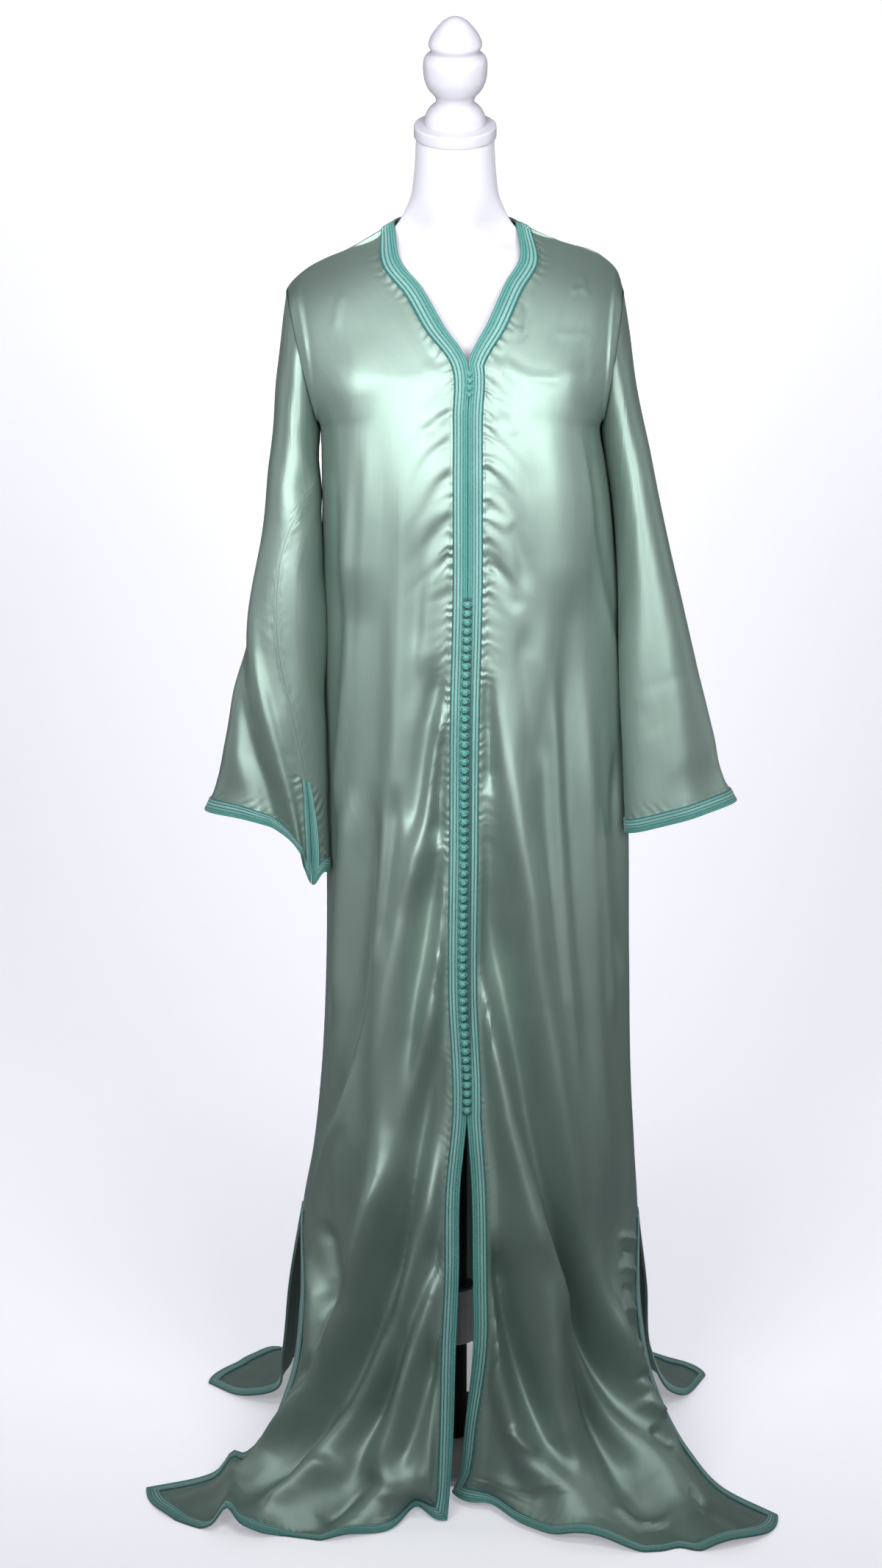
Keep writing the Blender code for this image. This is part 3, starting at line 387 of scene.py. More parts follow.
BACK = (
    BackRow("nape", NECK_RIGHT, NECK_LEFT, (57, 1513), 2.0),
    BackRow("yoke", (-121, 0, 1476), (121, 0, 1484.5), (82, 1478), 2.1),
    BackRow("shoulder", (-170, 0, 1453.5), (170, 0, 1466.5), (98, 1447), 2.2),
    BackRow("tip", armhole_point("right", 0), armhole_point("left", 0), (105, 1420), 2.3),
    BackRow("blade", armhole_point("right", -55), armhole_point("left", -55), (112, 1385), 2.3),
    BackRow("rib", armhole_point("right", -110), armhole_point("left", -110), (117, 1335), 2.4),
    BackRow("armpit", armhole_point("right", -180), armhole_point("left", -180),
            (120, 1283), 2.5),
    BackRow("chest", (-154, 0, 1196), (180, 0, 1196), (121, 1200), 2.5),
    BackRow("waist", (-156, 0, 1090), (190, 0, 1090), (122, 1090), 2.5),
    BackRow("hip", (-155, 0, 950), (197, 0, 950), (127, 950), 2.5),
    BackRow("thigh", (-152, 0, 795), (204, 0, 795), (134, 795), 2.5),
    BackRow("lap", (-153, 0, 640), (207, 0, 640), (143, 640), 2.4),
    BackRow("knee", (-161, 0, 485), (212, 0, 485), (155, 485), 2.4),
    BackRow("shin", (-171, 0, 394), (219, 0, 394), (164, 394), 2.4),
    BackRow("side_slit", (-185, 1, 313), (225, 1, 305), (174, 305), 2.3),
    BackRow("calf", (-203, 28, 203), (238, 28, 200), (190, 200), 2.3),
    BackRow("ankle", (-215, 66, 90), (248, 68, 90), (212, 98), 2.3),
    BackRow("touch", (-228, 102, 24), (274, 104, 24), (238, 36), 2.3),
    BackRow("floor", (-272, 128, 6), (299, 130, 6), (275, 12), 2.2),
    BackRow("hem", (-317, 175, 2), (328, 198, 2), (318, 2), 1.95),
)

SLEEVE_RIGHT = (
    SleeveRow("head", (-192.5, 1431), (-155.5, 1270), 0, 68, 180, 1.0, 0.3, 0),
    SleeveRow("cap", (-198, 1391), (-157.2, 1240), -7, 65, 172, 1.0, 0.3, 0),
    SleeveRow("upper", (-206, 1321.5), (-153.6, 1197), -21, 57, 140, 1.0, 0.3, 0),
    SleeveRow("elbow_top", (-214, 1234), (-152.6, 1147), -42, 51, 98, 1.1, 0.3, 0),
    SleeveRow("elbow", (-222.5, 1152), (-152, 1088), -55, 46, 72, 1.3, 0.3, 0),
    SleeveRow("forearm", (-240, 1054), (-151.4, 1010), -62, 42, 80, 1.5, 0.3, 0),
    SleeveRow("flare", (-258.5, 965), (-149.8, 921), -66, 39, 110, 1.8, 0.3, 0),
    SleeveRow("slit", (-269, 906), (-147.8, 857), -67, 37, 126, 2.1, 0.3, 2),
    SleeveRow("wrist", (-279, 861), (-147.4, 800), -67, 36, 133, 2.5, 0.8, 14),
    SleeveRow("cuff", (-291.8, 831.5), (-147, 756), -67, 37, 136, 2.8, 2.2, 34),
)

SLEEVE_LEFT = (
    SleeveRow("head", (192.5, 1431), (168, 1270), 0, 68, 180, 1.0, 0.3, 0),
    SleeveRow("cap", (200, 1386), (172.4, 1240), -4, 65, 182, 1.0, 0.3, 0),
    SleeveRow("upper", (209, 1318), (179.4, 1198.5), -18, 57, 184, 1.0, 0.3, 0),
    SleeveRow("elbow_top", (225.2, 1242), (185.4, 1147.5), -38, 50, 186, 1.0, 0.3, 0),
    SleeveRow("elbow", (244, 1156.5), (188.5, 1092.5), -52, 46, 188, 1.0, 0.3, 0),
    SleeveRow("forearm", (266.7, 1061), (189.5, 1017), -64, 42, 196, 1.1, 0.3, 0),
    SleeveRow("flare", (287.8, 974), (192.5, 940), -70, 38, 205, 1.2, 0.3, 0),
    SleeveRow("slit", (302.3, 918), (195.5, 889), -72, 36, 215, 1.3, 0.3, 0),
    SleeveRow("wrist", (311, 877), (198, 839), -72, 35, 222, 1.3, 1.5, 2),
    SleeveRow("cuff", (328.5, 844), (200, 806), -72, 36, 226, 1.3, 5, 6),
)

FOLDS_FRONT_RIGHT = (
    Fold(800, 0.13, 30, 0.56, 44, 34),
    Fold(560, 0.06, 30, 0.28, 24, 15),
    Fold(680, 0.19, 60, 0.39, 26, -22),
    Fold(760, 0.56, 290, 0.80, 32, 9),
    Fold(560, 0.45, 60, 0.72, 30, -14),
    Fold(1180, 0.55, 700, 0.60, 24, 8),
    Fold(1180, 0.28, 640, 0.36, 20, 8),
    Fold(1100, 0.42, 420, 0.48, 26, -11),
)

FOLDS_FRONT_LEFT = (
    Fold(720, 0.09, 40, 0.42, 34, 24),
    Fold(740, 0.24, 60, 0.60, 34, -26),
    Fold(660, 0.42, 90, 0.76, 36, 20),
    Fold(1080, 0.10, 640, 0.36, 22, 9),
    Fold(1290, 0.60, 940, 0.84, 22, 4),
    Fold(1000, 0.56, 420, 0.66, 26, -12),
)

FOLDS_BACK = (
    Fold(1150, 0.24, 60, 0.17, 34, 24),
    Fold(1060, 0.36, 60, 0.33, 30, -18),
    Fold(1180, 0.47, 60, 0.49, 36, 26),
    Fold(1020, 0.60, 60, 0.64, 30, -20),
    Fold(1120, 0.73, 60, 0.80, 34, 22),
)

FOLDS_SLEEVE_RIGHT = (
    Fold(1190, 0.86, 900, 0.90, 14, 8),
    Fold(1150, 0.74, 880, 0.80, 14, -9),
    Fold(1300, 0.30, 900, 0.34, 20, 5),
)

FOLDS_SLEEVE_LEFT = (
    Fold(1290, 0.34, 930, 0.30, 16, -6),
    Fold(1320, 0.60, 900, 0.62, 24, 5),
)

GATHERS_RIGHT = (
    Gather(1352, 1080, 40, 26, 2.3, 0.5, 9),
    Gather(1385, 1062, 23, 20, 1.3, 0.35, 10),
    Gather(1080, 560, 66, 22, 1.6, 0.8, 5),
    Gather(1400, 500, 17, 15, 0.6, 0.2, 5),
)

GATHERS_LEFT = (
    Gather(1352, 1080, 43, 27, 2.3, 0.55, 9),
    Gather(1395, 1062, 22, 22, 1.3, 0.4, 10),
    Gather(1080, 560, 70, 22, 1.6, 0.8, 5),
    Gather(1400, 500, 16, 15, 0.6, 0.2, 5),
)

FORM = (
    FormRow(742, 128, -86, 86),
    FormRow(756, 144, -102, 100),
    FormRow(830, 148, -114, 112),
    FormRow(920, 147, -116, 114),
    FormRow(1010, 133, -108, 100),
    FormRow(1085, 118, -98, 84),
    FormRow(1160, 127, -108, 90),
    FormRow(1235, 139, -126, 100),
    FormRow(1300, 143, -112, 105),
    FormRow(1350, 148, -95, 100),
    FormRow(1395, 160, -74, 92),
)
FORM_TOP = (
    FormRow(1519, 57.5, -46, 50, 0.4),
    FormRow(1535, 50.8, -46, 47, 0.12),
    FormRow(1560, 47, -45, 44),
    FormRow(1601.5, 44.5, -44, 43),
)


class FormShoulder(NamedTuple):
    """Level of the form at one point of the shoulder line."""
    step: int           # which point of the shoulder line
    drop: float         # how far below the underside of the cloth
    front: float
    back: float
    pinch: float


FORM_SHOULDERS = (
    FormShoulder(5, 5.0, -56, 84, 0.35),
    FormShoulder(4, 3.6, -54, 78, 0.5),
    FormShoulder(3, 2.6, -52, 70, 0.7),
    FormShoulder(2, 0.5, -50, 62, 0.85),
    FormShoulder(1, 0.5, -48, 54, 0.9),
    FormShoulder(0, 0.5, -46, 50, 0.75),
)

# Finial, top to bottom: radius and height above the neck cap
FINIAL = ((0, 123), (15, 116.5), (22.2, 108), (27.7, 99.5), (30.2, 90.5), (26.8, 82.6),
          (33.6, 77.5), (36.1, 60), (34.2, 48.5), (30.2, 40), (22.6, 30), (22, 24.5),
          (29.5, 16.5), (34.2, 7), (34.7, 0), (0, 0))


class Crease(NamedTuple):
    """A ridge (or trough, if depth is negative) along a line of points."""
    points: list        # x, y, z on the cloth
    width: float
    depth: float


# --------------------------------------------------------------- curve helpers

def smooth(share: np.ndarray) -> np.ndarray:
    """Smooth step of an array, from 0 below 0 to 1 above 1."""
    share = np.clip(share, 0, 1)
    return share * share * (3 - 2 * share)


def curve_through(knots: np.ndarray, values: np.ndarray, places: np.ndarray) -> np.ndarray:
    """Smooth curve through values at uneven knots, read at the given places."""
    slopes = np.empty_like(values)
    gaps = np.diff(knots)
    steps = np.diff(values, axis=0) / gaps[:, None, None]
    slopes[0], slopes[-1] = steps[0], steps[-1]
    before, after = gaps[:-1, None, None], gaps[1:, None, None]
    slopes[1:-1] = (steps[:-1] * after + steps[1:] * before) / (before + after)
    index = np.clip(np.searchsorted(knots, places, side="right") - 1, 0, len(knots) - 2)
    gap = gaps[index][:, None, None]
    share = ((places - knots[index]) / gaps[index])[:, None, None]
    start, end = values[index], values[index + 1]
    pull_start, pull_end = slopes[index] * gap, slopes[index + 1] * gap
    return ((1 + 2 * share) * (1 - share) ** 2 * start + share * (1 - share) ** 2 * pull_start
            + share ** 2 * (3 - 2 * share) * end - share ** 2 * (1 - share) * pull_end)


def lengths_along(points: np.ndarray) -> np.ndarray:
    """Distance along a polyline to each of its points."""
    return np.concatenate([[0], np.cumsum(np.linalg.norm(np.diff(points, axis=0), axis=1))])


def grid_distances(points: np.ndarray) -> tuple:
    """Distance of each grid point from the first column, and from the top row."""
    widths = np.linalg.norm(np.diff(points, axis=1), axis=2)
    drops = np.linalg.norm(np.diff(points, axis=0), axis=2)
    across = np.concatenate([np.zeros((len(points), 1)), np.cumsum(widths, axis=1)], axis=1)
    down = np.concatenate([np.zeros((1, points.shape[1])), np.cumsum(drops, axis=0)])
    return across, down


def unit(vectors: np.ndarray) -> np.ndarray:
    """Vectors along the last axis, brought to length one."""
    return vectors / np.maximum(np.linalg.norm(vectors, axis=-1, keepdims=True), TINY)


def circle(count: int) -> np.ndarray:
    """Evenly spaced angles round a full turn."""
    return np.linspace(0, 2 * math.pi, count, endpoint=False)


def points_at(points: np.ndarray, distances: np.ndarray) -> np.ndarray:
    """Points of a polyline at the given distances along it."""
    along = lengths_along(points)
    return np.stack([np.interp(distances, along, points[:, axis]) for axis in range(3)], axis=1)


def banded_columns(points: np.ndarray, first_band: float, last_band: float,
                   middle_cells: int) -> np.ndarray:
    """Space columns along a section: a braid's cells at each end, even cells between."""
    length = lengths_along(points)[-1]
    first = np.linspace(0, first_band, BRAID_CELLS + 1)
    last = np.linspace(length - last_band, length, BRAID_CELLS + 1)
    middle = np.linspace(first_band, length - last_band, middle_cells + 1)[1:-1]
    return points_at(points, np.concatenate([first, middle, last]))


def smooth_noise(shape: tuple, cells: tuple, generator: np.random.Generator) -> np.ndarray:
    """Soft random field from -1 to 1, with about the given number of bumps each way."""
    coarse = generator.uniform(-1, 1, (cells[0] + 3, cells[1] + 3))
    rows = np.linspace(0, cells[0] + 1.999, shape[0])
    columns = np.linspace(0, cells[1] + 1.999, shape[1])
    row, column = rows.astype(int), columns.astype(int)
    down, across = smooth(rows - row)[:, None], smooth(columns - column)[None, :]
    top = coarse[row][:, column] * (1 - across) + coarse[row][:, column + 1] * across
    low = coarse[row + 1][:, column] * (1 - across) + coarse[row + 1][:, column + 1] * across
    return top * (1 - down) + low * down


# ------------------------------------------------------------------- sections

def front_section(row: FrontRow) -> np.ndarray:
    """Quarter round from the centre edge to the side, in metres."""
    turn = np.linspace(0, math.pi / 2, SECTION_SAMPLES)
    edge, side = np.array(row.edge), np.array(row.side)
    across = np.sin(turn) ** (2 / row.square)
    along = np.clip(np.cos(turn), 0, 1) ** (2 / row.square)
    x = edge[0] + (side[0] - edge[0]) * across
    y = side[1] + (edge[1] - side[1]) * along - row.bulge * np.sin(2 * turn)
    z = edge[2] + (side[2] - edge[2]) * turn / turn[-1]
    return np.stack([x, y, z], axis=1) * MM


def shoulder_section(side: Side) -> np.ndarray:
    """The shoulder line from the neck to the sleeve, in metres."""
    table = np.array(SHOULDERS[side.value], dtype=float)
    knots = lengths_along(np.column_stack([table, np.zeros(len(table))]))
    places = np.linspace(0, knots[-1], SECTION_SAMPLES)
    xz = curve_through(knots, table[:, None, :], places)[:, 0]
    return np.stack([side.sign * xz[:, 0], np.zeros(len(xz)), xz[:, 1]], axis=1) * MM


def back_section(row: BackRow) -> np.ndarray:
    """Half round from the wearer's right side to the left, in metres."""
    turn = np.linspace(math.pi, 0, 2 * SECTION_SAMPLES)
    right, left = np.array(row.right), np.array(row.left)
    across = np.sign(np.cos(turn)) * np.abs(np.cos(turn)) ** (2 / row.square)
    along = np.clip(np.sin(turn), 0, 1) ** (2 / row.square)
    share = (across + 1) / 2
    side_y = right[1] + (left[1] - right[1]) * share
    side_z = right[2] + (left[2] - right[2]) * share
    x = right[0] + (left[0] - right[0]) * share
    y = side_y + (row.middle[0] - side_y) * along
    z = side_z + (row.middle[1] - side_z) * along
    return np.stack([x, y, z], axis=1) * MM


def sleeve_section(row: SleeveRow) -> np.ndarray:
    """Ring round the arm from the seam back to the seam, in metres."""
    turn = math.radians(row.seam) + np.linspace(0, 2 * math.pi, 2 * SECTION_SAMPLES)
    out, inn = np.array(row.out), np.array(row.inn)
    share = (1 + np.cos(turn)) / 2
    x = inn[0] + (out[0] - inn[0]) * share
    z = out[1] + (inn[1] - out[1]) * (1 - share) ** row.droop
    y = row.mid_y - row.depth * np.sin(turn)
    ring = np.stack([x, y, z], axis=1) * MM
    along = lengths_along(ring)
    from_slit = np.minimum(along, along[-1] - along)
    ring[:, 2] -= row.tip * MM * np.exp(-(from_slit / TIP_REACH) ** 2)
    length = lengths_along(ring)[-1]
    half_gap = row.gap * MM / 2
    return points_at(ring, np.linspace(half_gap, length - half_gap, len(ring)))


# ---------------------------------------------------------------------- grids

def mean_gaps(columns: np.ndarray) -> np.ndarray:
    """Mean distance between each section and the next."""
    return np.linalg.norm(np.diff(columns, axis=0), axis=2).mean(axis=1)


def skin(columns: np.ndarray, names: list, counts: list) -> tuple:
    """Rows of points down through the sections, the last ones a braid's cells.

    Args:
        columns: one line of points for each section.
        names: the sections' names.
        counts: grid rows from each section to the next, loose rows last.

    Returns:
        The grid's points, and the first grid row of each named section.
    """
    knots = np.concatenate([[0], np.cumsum(mean_gaps(columns))])
    places, starts = [knots[0]], {}
    for index, name in enumerate(names[:-3]):
        starts[name] = len(places) - 1
        places += list(np.linspace(knots[index], knots[index + 1], counts[index] + 1)[1:])
    starts[names[-3]] = len(places) - 1
    body = curve_through(knots, columns, np.array(places))
    drop = curve_through(knots, columns, np.linspace(knots[-3], knots[-1], DROP_SAMPLES))
    low_rows = []
    for column in range(columns.shape[1]):
        length = lengths_along(drop[:, column])[-1]
        loose = np.linspace(0, length - BRAID_WIDTH, counts[-1] + 1)[1:-1]
        braid = length - np.linspace(BRAID_WIDTH, 0, BRAID_CELLS + 1)
        low_rows.append(points_at(drop[:, column], np.concatenate([loose, braid])))
    return np.concatenate([body, np.stack(low_rows, axis=1)]), starts


def row_counts(columns: np.ndarray) -> list:
    """Grid rows for each gap between sections, loose rows last, at the row pitch."""
    gaps = mean_gaps(columns)
    counts = [max(1, round(gap / ROW_PITCH)) for gap in gaps[:-2]]
    return counts + [max(3, round((gaps[-2] + gaps[-1] - BRAID_WIDTH) / ROW_PITCH))]


def directions(points: np.ndarray, axis: int) -> np.ndarray:
    """Unit direction of the grid along one axis, even where its cells are uneven."""
    steps = unit(np.diff(points, axis=axis))
    first = np.take(steps, [0], axis=axis)
    last = np.take(steps, [-1], axis=axis)
    return np.concatenate([steps, last], axis=axis) + np.concatenate([first, steps], axis=axis)


def outward(points: np.ndarray, turned: bool) -> np.ndarray:
    """Unit normals of a grid that point away from the wearer."""
    normals = unit(np.cross(directions(points, 1), directions(points, 0)))
    return -normals if turned else normals


def flatten(normals: np.ndarray, where: tuple, plane: tuple) -> None:
    """Turn some normals into a seam's plane, so that the wall ends on it."""
    plane = np.array(plane) / np.linalg.norm(plane)
    chosen = normals[where]
    normals[where] = unit(chosen - (chosen @ plane)[..., None] * plane)


def armhole_plane(side: Side) -> np.ndarray:
    """Unit vector square to an armhole's plane, pointing to the sleeve."""
    hole = ARMHOLES[side.value]
    along = np.array([hole.under_x - hole.tip_x, 0, hole.under_z - hole.tip_z])
    square = np.array([-along[2], 0, along[0]])
    square = square / np.linalg.norm(square)
    return square if square[0] * hole.tip_x > 0 else -square


def polyline_distance(points: np.ndarray, line: np.ndarray) -> tuple:
    """Distance of grid points from a polyline, and their share of its length."""
    best = np.full(points.shape[:2], np.inf)
    share = np.zeros(points.shape[:2])
    along = lengths_along(line)
    for index, (start, end) in enumerate(zip(line, line[1:])):
        step = end - start
        size = max(float(step @ step), TINY)
        place = np.clip((points - start) @ step / size, 0, 1)
        gap = np.linalg.norm(points - start - place[..., None] * step, axis=2)
        near = gap < best
        best = np.where(near, gap, best)
        here = (along[index] + place * (along[index + 1] - along[index])) / along[-1]
        share = np.where(near, here, share)
    return best, share


class Grid(NamedTuple):
    """A cloth piece: its outer points, its normals and its rows' names."""
    points: np.ndarray
    normals: np.ndarray
    starts: dict
    turned: bool


# --------------------------------------------------------------------- relief

@dataclass(frozen=True)
class Relief:
    """Everything that is laid on a panel's even form: folds, gathers, creases, puckers."""
    folds: tuple = ()
    gathers: tuple = ()
    creases: tuple = ()
    pucker_first: float = 0.0       # depth of small puckers beside the first braid
    pucker_last: float = 0.0
    pucker_hem: float = 0.0
    crumple: float = 0.0            # depth of the crumples where cloth lies on the floor
    drape: float = 0.0              # depth of the soft unevenness of hung satin
    seed: int = 0

    def lay(self, points: np.ndarray, turned: bool, slit: int, braided_first: bool) -> np.ndarray:
        """Move a grid of points out and in along its normals.

        Args:
            points: the even form, rows down and columns across.
            turned: whether the grid's columns run the other way round.
            slit: the grid row below which both edges carry braid.
            braided_first: whether the first edge carries braid above it too.

        Returns:
            The moved points.
        """
        normals = outward(points, turned)
        along, down = grid_distances(points)
        length = along[:, -1:]
        to_hem = down[-1:] - down
        edge = np.minimum(along, length - along)
        band = along[:, BRAID_CELLS:BRAID_CELLS + 1]
        below = (np.arange(len(points)) >= slit)[:, None]
        from_first = along - band * (below | braided_first)
        from_last = length - along - BRAID_WIDTH * below
        near = np.minimum(np.minimum(from_first, from_last), to_hem - BRAID_WIDTH)
        shift = self._folds(points, along, length) * smooth((edge - BRAID_WIDTH) / BRAID_WIDTH)
        broad = self._creases(points) + self._unevenness(points, down, length)
        fine = self._gathers(points, from_first) + self._puckers(
            down, along, (from_first, from_last, to_hem - BRAID_WIDTH))
        shift += broad * smooth(near / BROAD_EASE) + fine * smooth(near / FINE_EASE)
        return points + normals * shift[:, :, None]

    def _folds(self, points: np.ndarray, along: np.ndarray, length: np.ndarray) -> np.ndarray:
        """Long soft ridges and troughs, calmer where the cloth nears the floor."""
        shift = np.zeros(points.shape[:2])
        for fold in self.folds:
            share = (fold.top_z * MM - points[:, :, 2]) / ((fold.top_z - fold.low_z) * MM)
            turn = np.clip(share, 0, FOLD_OVERRUN)
            middle = (fold.top_u + (fold.low_u - fold.top_u) * turn) * length
            ridge = np.exp(-((along - middle) / (fold.width * MM)) ** 2)
            shift += fold.depth * MM * smooth(share) * ridge
        return shift * (CALM_SHARE + (1 - CALM_SHARE) * smooth(points[:, :, 2] / CALM_BELOW))

    def _gathers(self, points: np.ndarray, from_first: np.ndarray) -> np.ndarray:
        """Puckers that start square to the placket and sweep down as they fade."""
        shift = np.zeros(points.shape[:2])
        generator = np.random.default_rng(self.seed)
        height = points[:, :1, 2]
        out = np.maximum(from_first, 0)
        for gather in self.gathers:
            level = (gather.top_z * MM - height) / ((gather.top_z - gather.low_z) * MM)
            span = smooth(GATHER_RAMP * level) * smooth(GATHER_RAMP * (1 - level))
            wander = smooth_noise(points.shape[:2], (26, 3), generator)
            strong = GATHER_EVEN + (1 - GATHER_EVEN) * smooth_noise(
                points.shape[:2], (15, 2), generator)
            lean = height + gather.sweep * out + gather.curl * out ** 2
            phase = 2 * math.pi * lean / (gather.pitch * MM) + GATHER_WANDER * wander
            wave = np.sin(phase) + GATHER_OVERTONE * np.sin(2 * phase + 0.8)
            reach = np.exp(-(out / (gather.reach * MM)) ** GATHER_FADE)
            shift += gather.depth * MM * span * strong * wave * reach
        return shift

    def _creases(self, points: np.ndarray) -> np.ndarray:
        """Ridges and troughs along given lines, fading at both ends."""
        shift = np.zeros(points.shape[:2])
        for crease in self.creases:
            line = np.array(crease.points, dtype=float) * MM
            gap, share = polyline_distance(points, line)
            taper = smooth(share / CREASE_TAPER) * smooth((1 - share) / CREASE_TAPER)
            shift += crease.depth * MM * taper * np.exp(-(gap / (crease.width * MM)) ** 2)
        return shift

    def _puckers(self, down: np.ndarray, along: np.ndarray, gaps: tuple) -> np.ndarray:
        """Small uneven puckers where stitches draw the satin up beside its edges."""
        generator = np.random.default_rng(self.seed + PUCKER_SEED_STEP)
        shape = down.shape
        shift = np.zeros(shape)
        depths = (self.pucker_first, self.pucker_last, self.pucker_hem)
        for depth, gap, place in zip(depths, gaps, (down, down, along)):
            out = np.maximum(gap, 0)
            uneven = 0.5 + 0.5 * smooth_noise(shape, (40, 24), generator)
            wander = smooth_noise(shape, (30, 20), generator)
            wave = np.sin(2 * math.pi * (place + 0.25 * out) / PUCKER_PITCH + 3.2 * wander)
            shift += 0.8 * depth * MM * uneven * wave * np.exp(-out / PUCKER_REACH)
        return shift

    def _unevenness(self, points: np.ndarray, down: np.ndarray, length: np.ndarray) -> np.ndarray:
        """Soft long unevenness of hung satin, and crumples where it lies on the floor."""
        generator = np.random.default_rng(self.seed + DRAPE_SEED_STEP)
        shape = down.shape
        soft = smooth_noise(shape, (4, 11), generator)
        soft = soft + 0.35 * smooth_noise(shape, (18, 22), generator)
        shift = self.drape * MM * soft * (0.25 + 0.75 * smooth(down / DRAPE_BELOW))
        if self.crumple:
            low = smooth(1 - points[:, :, 2] / CRUMPLE_BELOW)
            broad = smooth_noise(shape, (70, 9), generator)
            sharp = 1 - np.abs(smooth_noise(shape, (120, 20), generator)) * 2
            shift += self.crumple * MM * low * (0.7 * broad + 0.3 * sharp)
        return shift


def keep_off_floor(points: np.ndarray) -> np.ndarray:
    """Lift what lies on the floor so that its underside is just above it."""
    points[:, :, 2] = np.maximum(points[:, :, 2], CLOTH + FLOOR_LIFT)
    return points


# ---------------------------------------------------------------------- panels

def meet(points: np.ndarray, rows: slice, mate: np.ndarray) -> None:
    """Move a front's placket edge onto its mate's, easing off across the panel."""
    shift = mate[rows, 0] - points[rows, 0]
    easing = 1 - smooth(np.linspace(0, 2, points.shape[1]))
    points[rows] += shift[:, None, :] * easing[None, :, None]


def front_columns(side: Side, table: tuple) -> np.ndarray:
    """Columns of points on every section of a front."""
    columns = []
    for row in table:
        section = shoulder_section(side) if row.name == "shoulder" else front_section(row)
        columns.append(banded_columns(section, row.band * MM, BRAID_WIDTH, FRONT_CELLS))
    return np.array(columns)


def round_off(points: np.ndarray, last: int) -> np.ndarray:
    """Round off the ridges that sections leave on the shoulder, away from the edges."""
    soft = points.copy()
    for _ in range(ROUNDING_PASSES):
        soft[1:-1] = (soft[:-2] + 2 * soft[1:-1] + soft[2:]) / 4
    rows = np.arange(len(points))[:, None]
    columns = np.minimum(np.arange(points.shape[1]), np.arange(points.shape[1])[::-1])[None, :]
    weight = smooth(rows / ROUNDING_ROWS) * smooth((last - rows) / ROUNDING_ROWS)
    weight = weight * smooth((columns - BRAID_CELLS) / ROUNDING_COLUMNS)
    return points + (soft - points) * weight[..., None]


def bunched(points: np.ndarray, waves: tuple) -> np.ndarray:
    """Draw the hem back and up where the cloth on the floor bunches."""
    low = smooth(1 - points[:, :, 2] / BUNCH_BELOW)
    for wave in waves:
        amount = wave.back * MM * low * np.exp(
            -((points[:, :, 0] - wave.x * MM) / (wave.width * MM)) ** 2)
        points[:, :, 1] += amount
        points[:, :, 2] += wave.rise * amount
    return points


def front_grid(side: Side, table: tuple, relief: Relief, mate: Grid = None) -> Grid:
    """Grid of one front, from the shoulder to the hem.

    Args:
        side: the wearer's side.
        table: its sections.
        relief: its folds and creases.
        mate: the other front, whose placket edge this one meets.

    Returns:
        The grid.
    """
    counts = row_counts(front_columns(Side.RIGHT, FRONT_RIGHT))
    points, starts = skin(front_columns(side, table), [row.name for row in table], counts)
    turned = side is Side.LEFT
    points = round_off(points, starts["armpit"])
    points = relief.lay(points, turned, starts["side_slit"], True)
    points = keep_off_floor(bunched(points, HEM_WAVES[side.value]))
    armpit, slit = starts["armpit"], starts["side_slit"]
    if mate is not None:
        meet(points, slice(starts["v_point"], starts["knee"] + 1), mate.points)
    normals = outward(points, turned)
    flatten(normals, (slice(0, armpit + 1), -1), armhole_plane(side))
    flatten(normals, (0, slice(None)), (0, 1, 0))
    flatten(normals, (slice(armpit, slit + 1), -1), (0, 1, 0))
    points[:armpit + 1, -1] -= armhole_plane(side) * SEAM
    points[0, :, 1] = -SEAM
    points[armpit:slit + 1, -1, 1] = -SEAM
    return Grid(points, normals, starts, turned)


def part_placket(right: Grid, left: Grid) -> None:
    """Share the normals of the two closed placket edges and part them by a seam."""
    start, end = right.starts["v_point"], right.starts["knee"] + 1
    shared = right.normals[start:end, 0] + left.normals[start:end, 0]
    shared[:, 0] = 0
    for grid, sign in ((right, -1), (left, 1)):
        grid.normals[start:end, 0] = unit(shared)
        grid.points[start:end, 0, 0] += sign * SEAM


def back_grid(table: tuple, relief: Relief) -> Grid:
    """Grid of the back, from the nape to the hem; its top rows are a braid's cells."""
    columns = np.array([banded_columns(back_section(row), BRAID_WIDTH, BRAID_WIDTH, BACK_CELLS)
                        for row in table])
    rows, starts = skin(columns, [row.name for row in table], row_counts(columns))
    yoke = starts["yoke"]
    top = []
    for column in range(rows.shape[1]):
        nape = rows[:yoke + 1, column]
        length = lengths_along(nape)[-1]
        places = np.concatenate([np.linspace(0, BRAID_WIDTH, BRAID_CELLS + 1),
                                 np.linspace(BRAID_WIDTH, length, yoke)[1:]])
        top.append(points_at(nape, places))
    points = np.concatenate([np.stack(top, axis=1), rows[yoke + 1:]])
    extra = len(points) - len(rows)
    starts = {name: row + extra for name, row in starts.items()}
    points = keep_off_floor(relief.lay(points, False, starts["side_slit"], False))
    tip, armpit, slit = starts["tip"], starts["armpit"], starts["side_slit"]
    for side, column in ((Side.RIGHT, 0), (Side.LEFT, -1)):
        line = np.abs(shoulder_section(side))
        edge = points[:tip + 1, column]
        edge[:, 2] = np.interp(np.abs(edge[:, 0]), line[:, 0], line[:, 2])
    normals = outward(points, False)
    for side, column in ((Side.RIGHT, 0), (Side.LEFT, -1)):
        plane = armhole_plane(side)
        flatten(normals, (slice(0, tip + 1), column), (0, 1, 0))
        flatten(normals, (slice(tip, armpit + 1), column), plane)
        for rows in (slice(armpit, slit + 1), slice(tip, tip + 1)):
            flatten(normals, (rows, column), (0, 1, 0))
        points[tip:armpit + 1, column] -= plane * SEAM
        points[:tip + 1, column, 1] = SEAM
        points[armpit:slit + 1, column, 1] = SEAM
    return Grid(points, normals, starts, False)


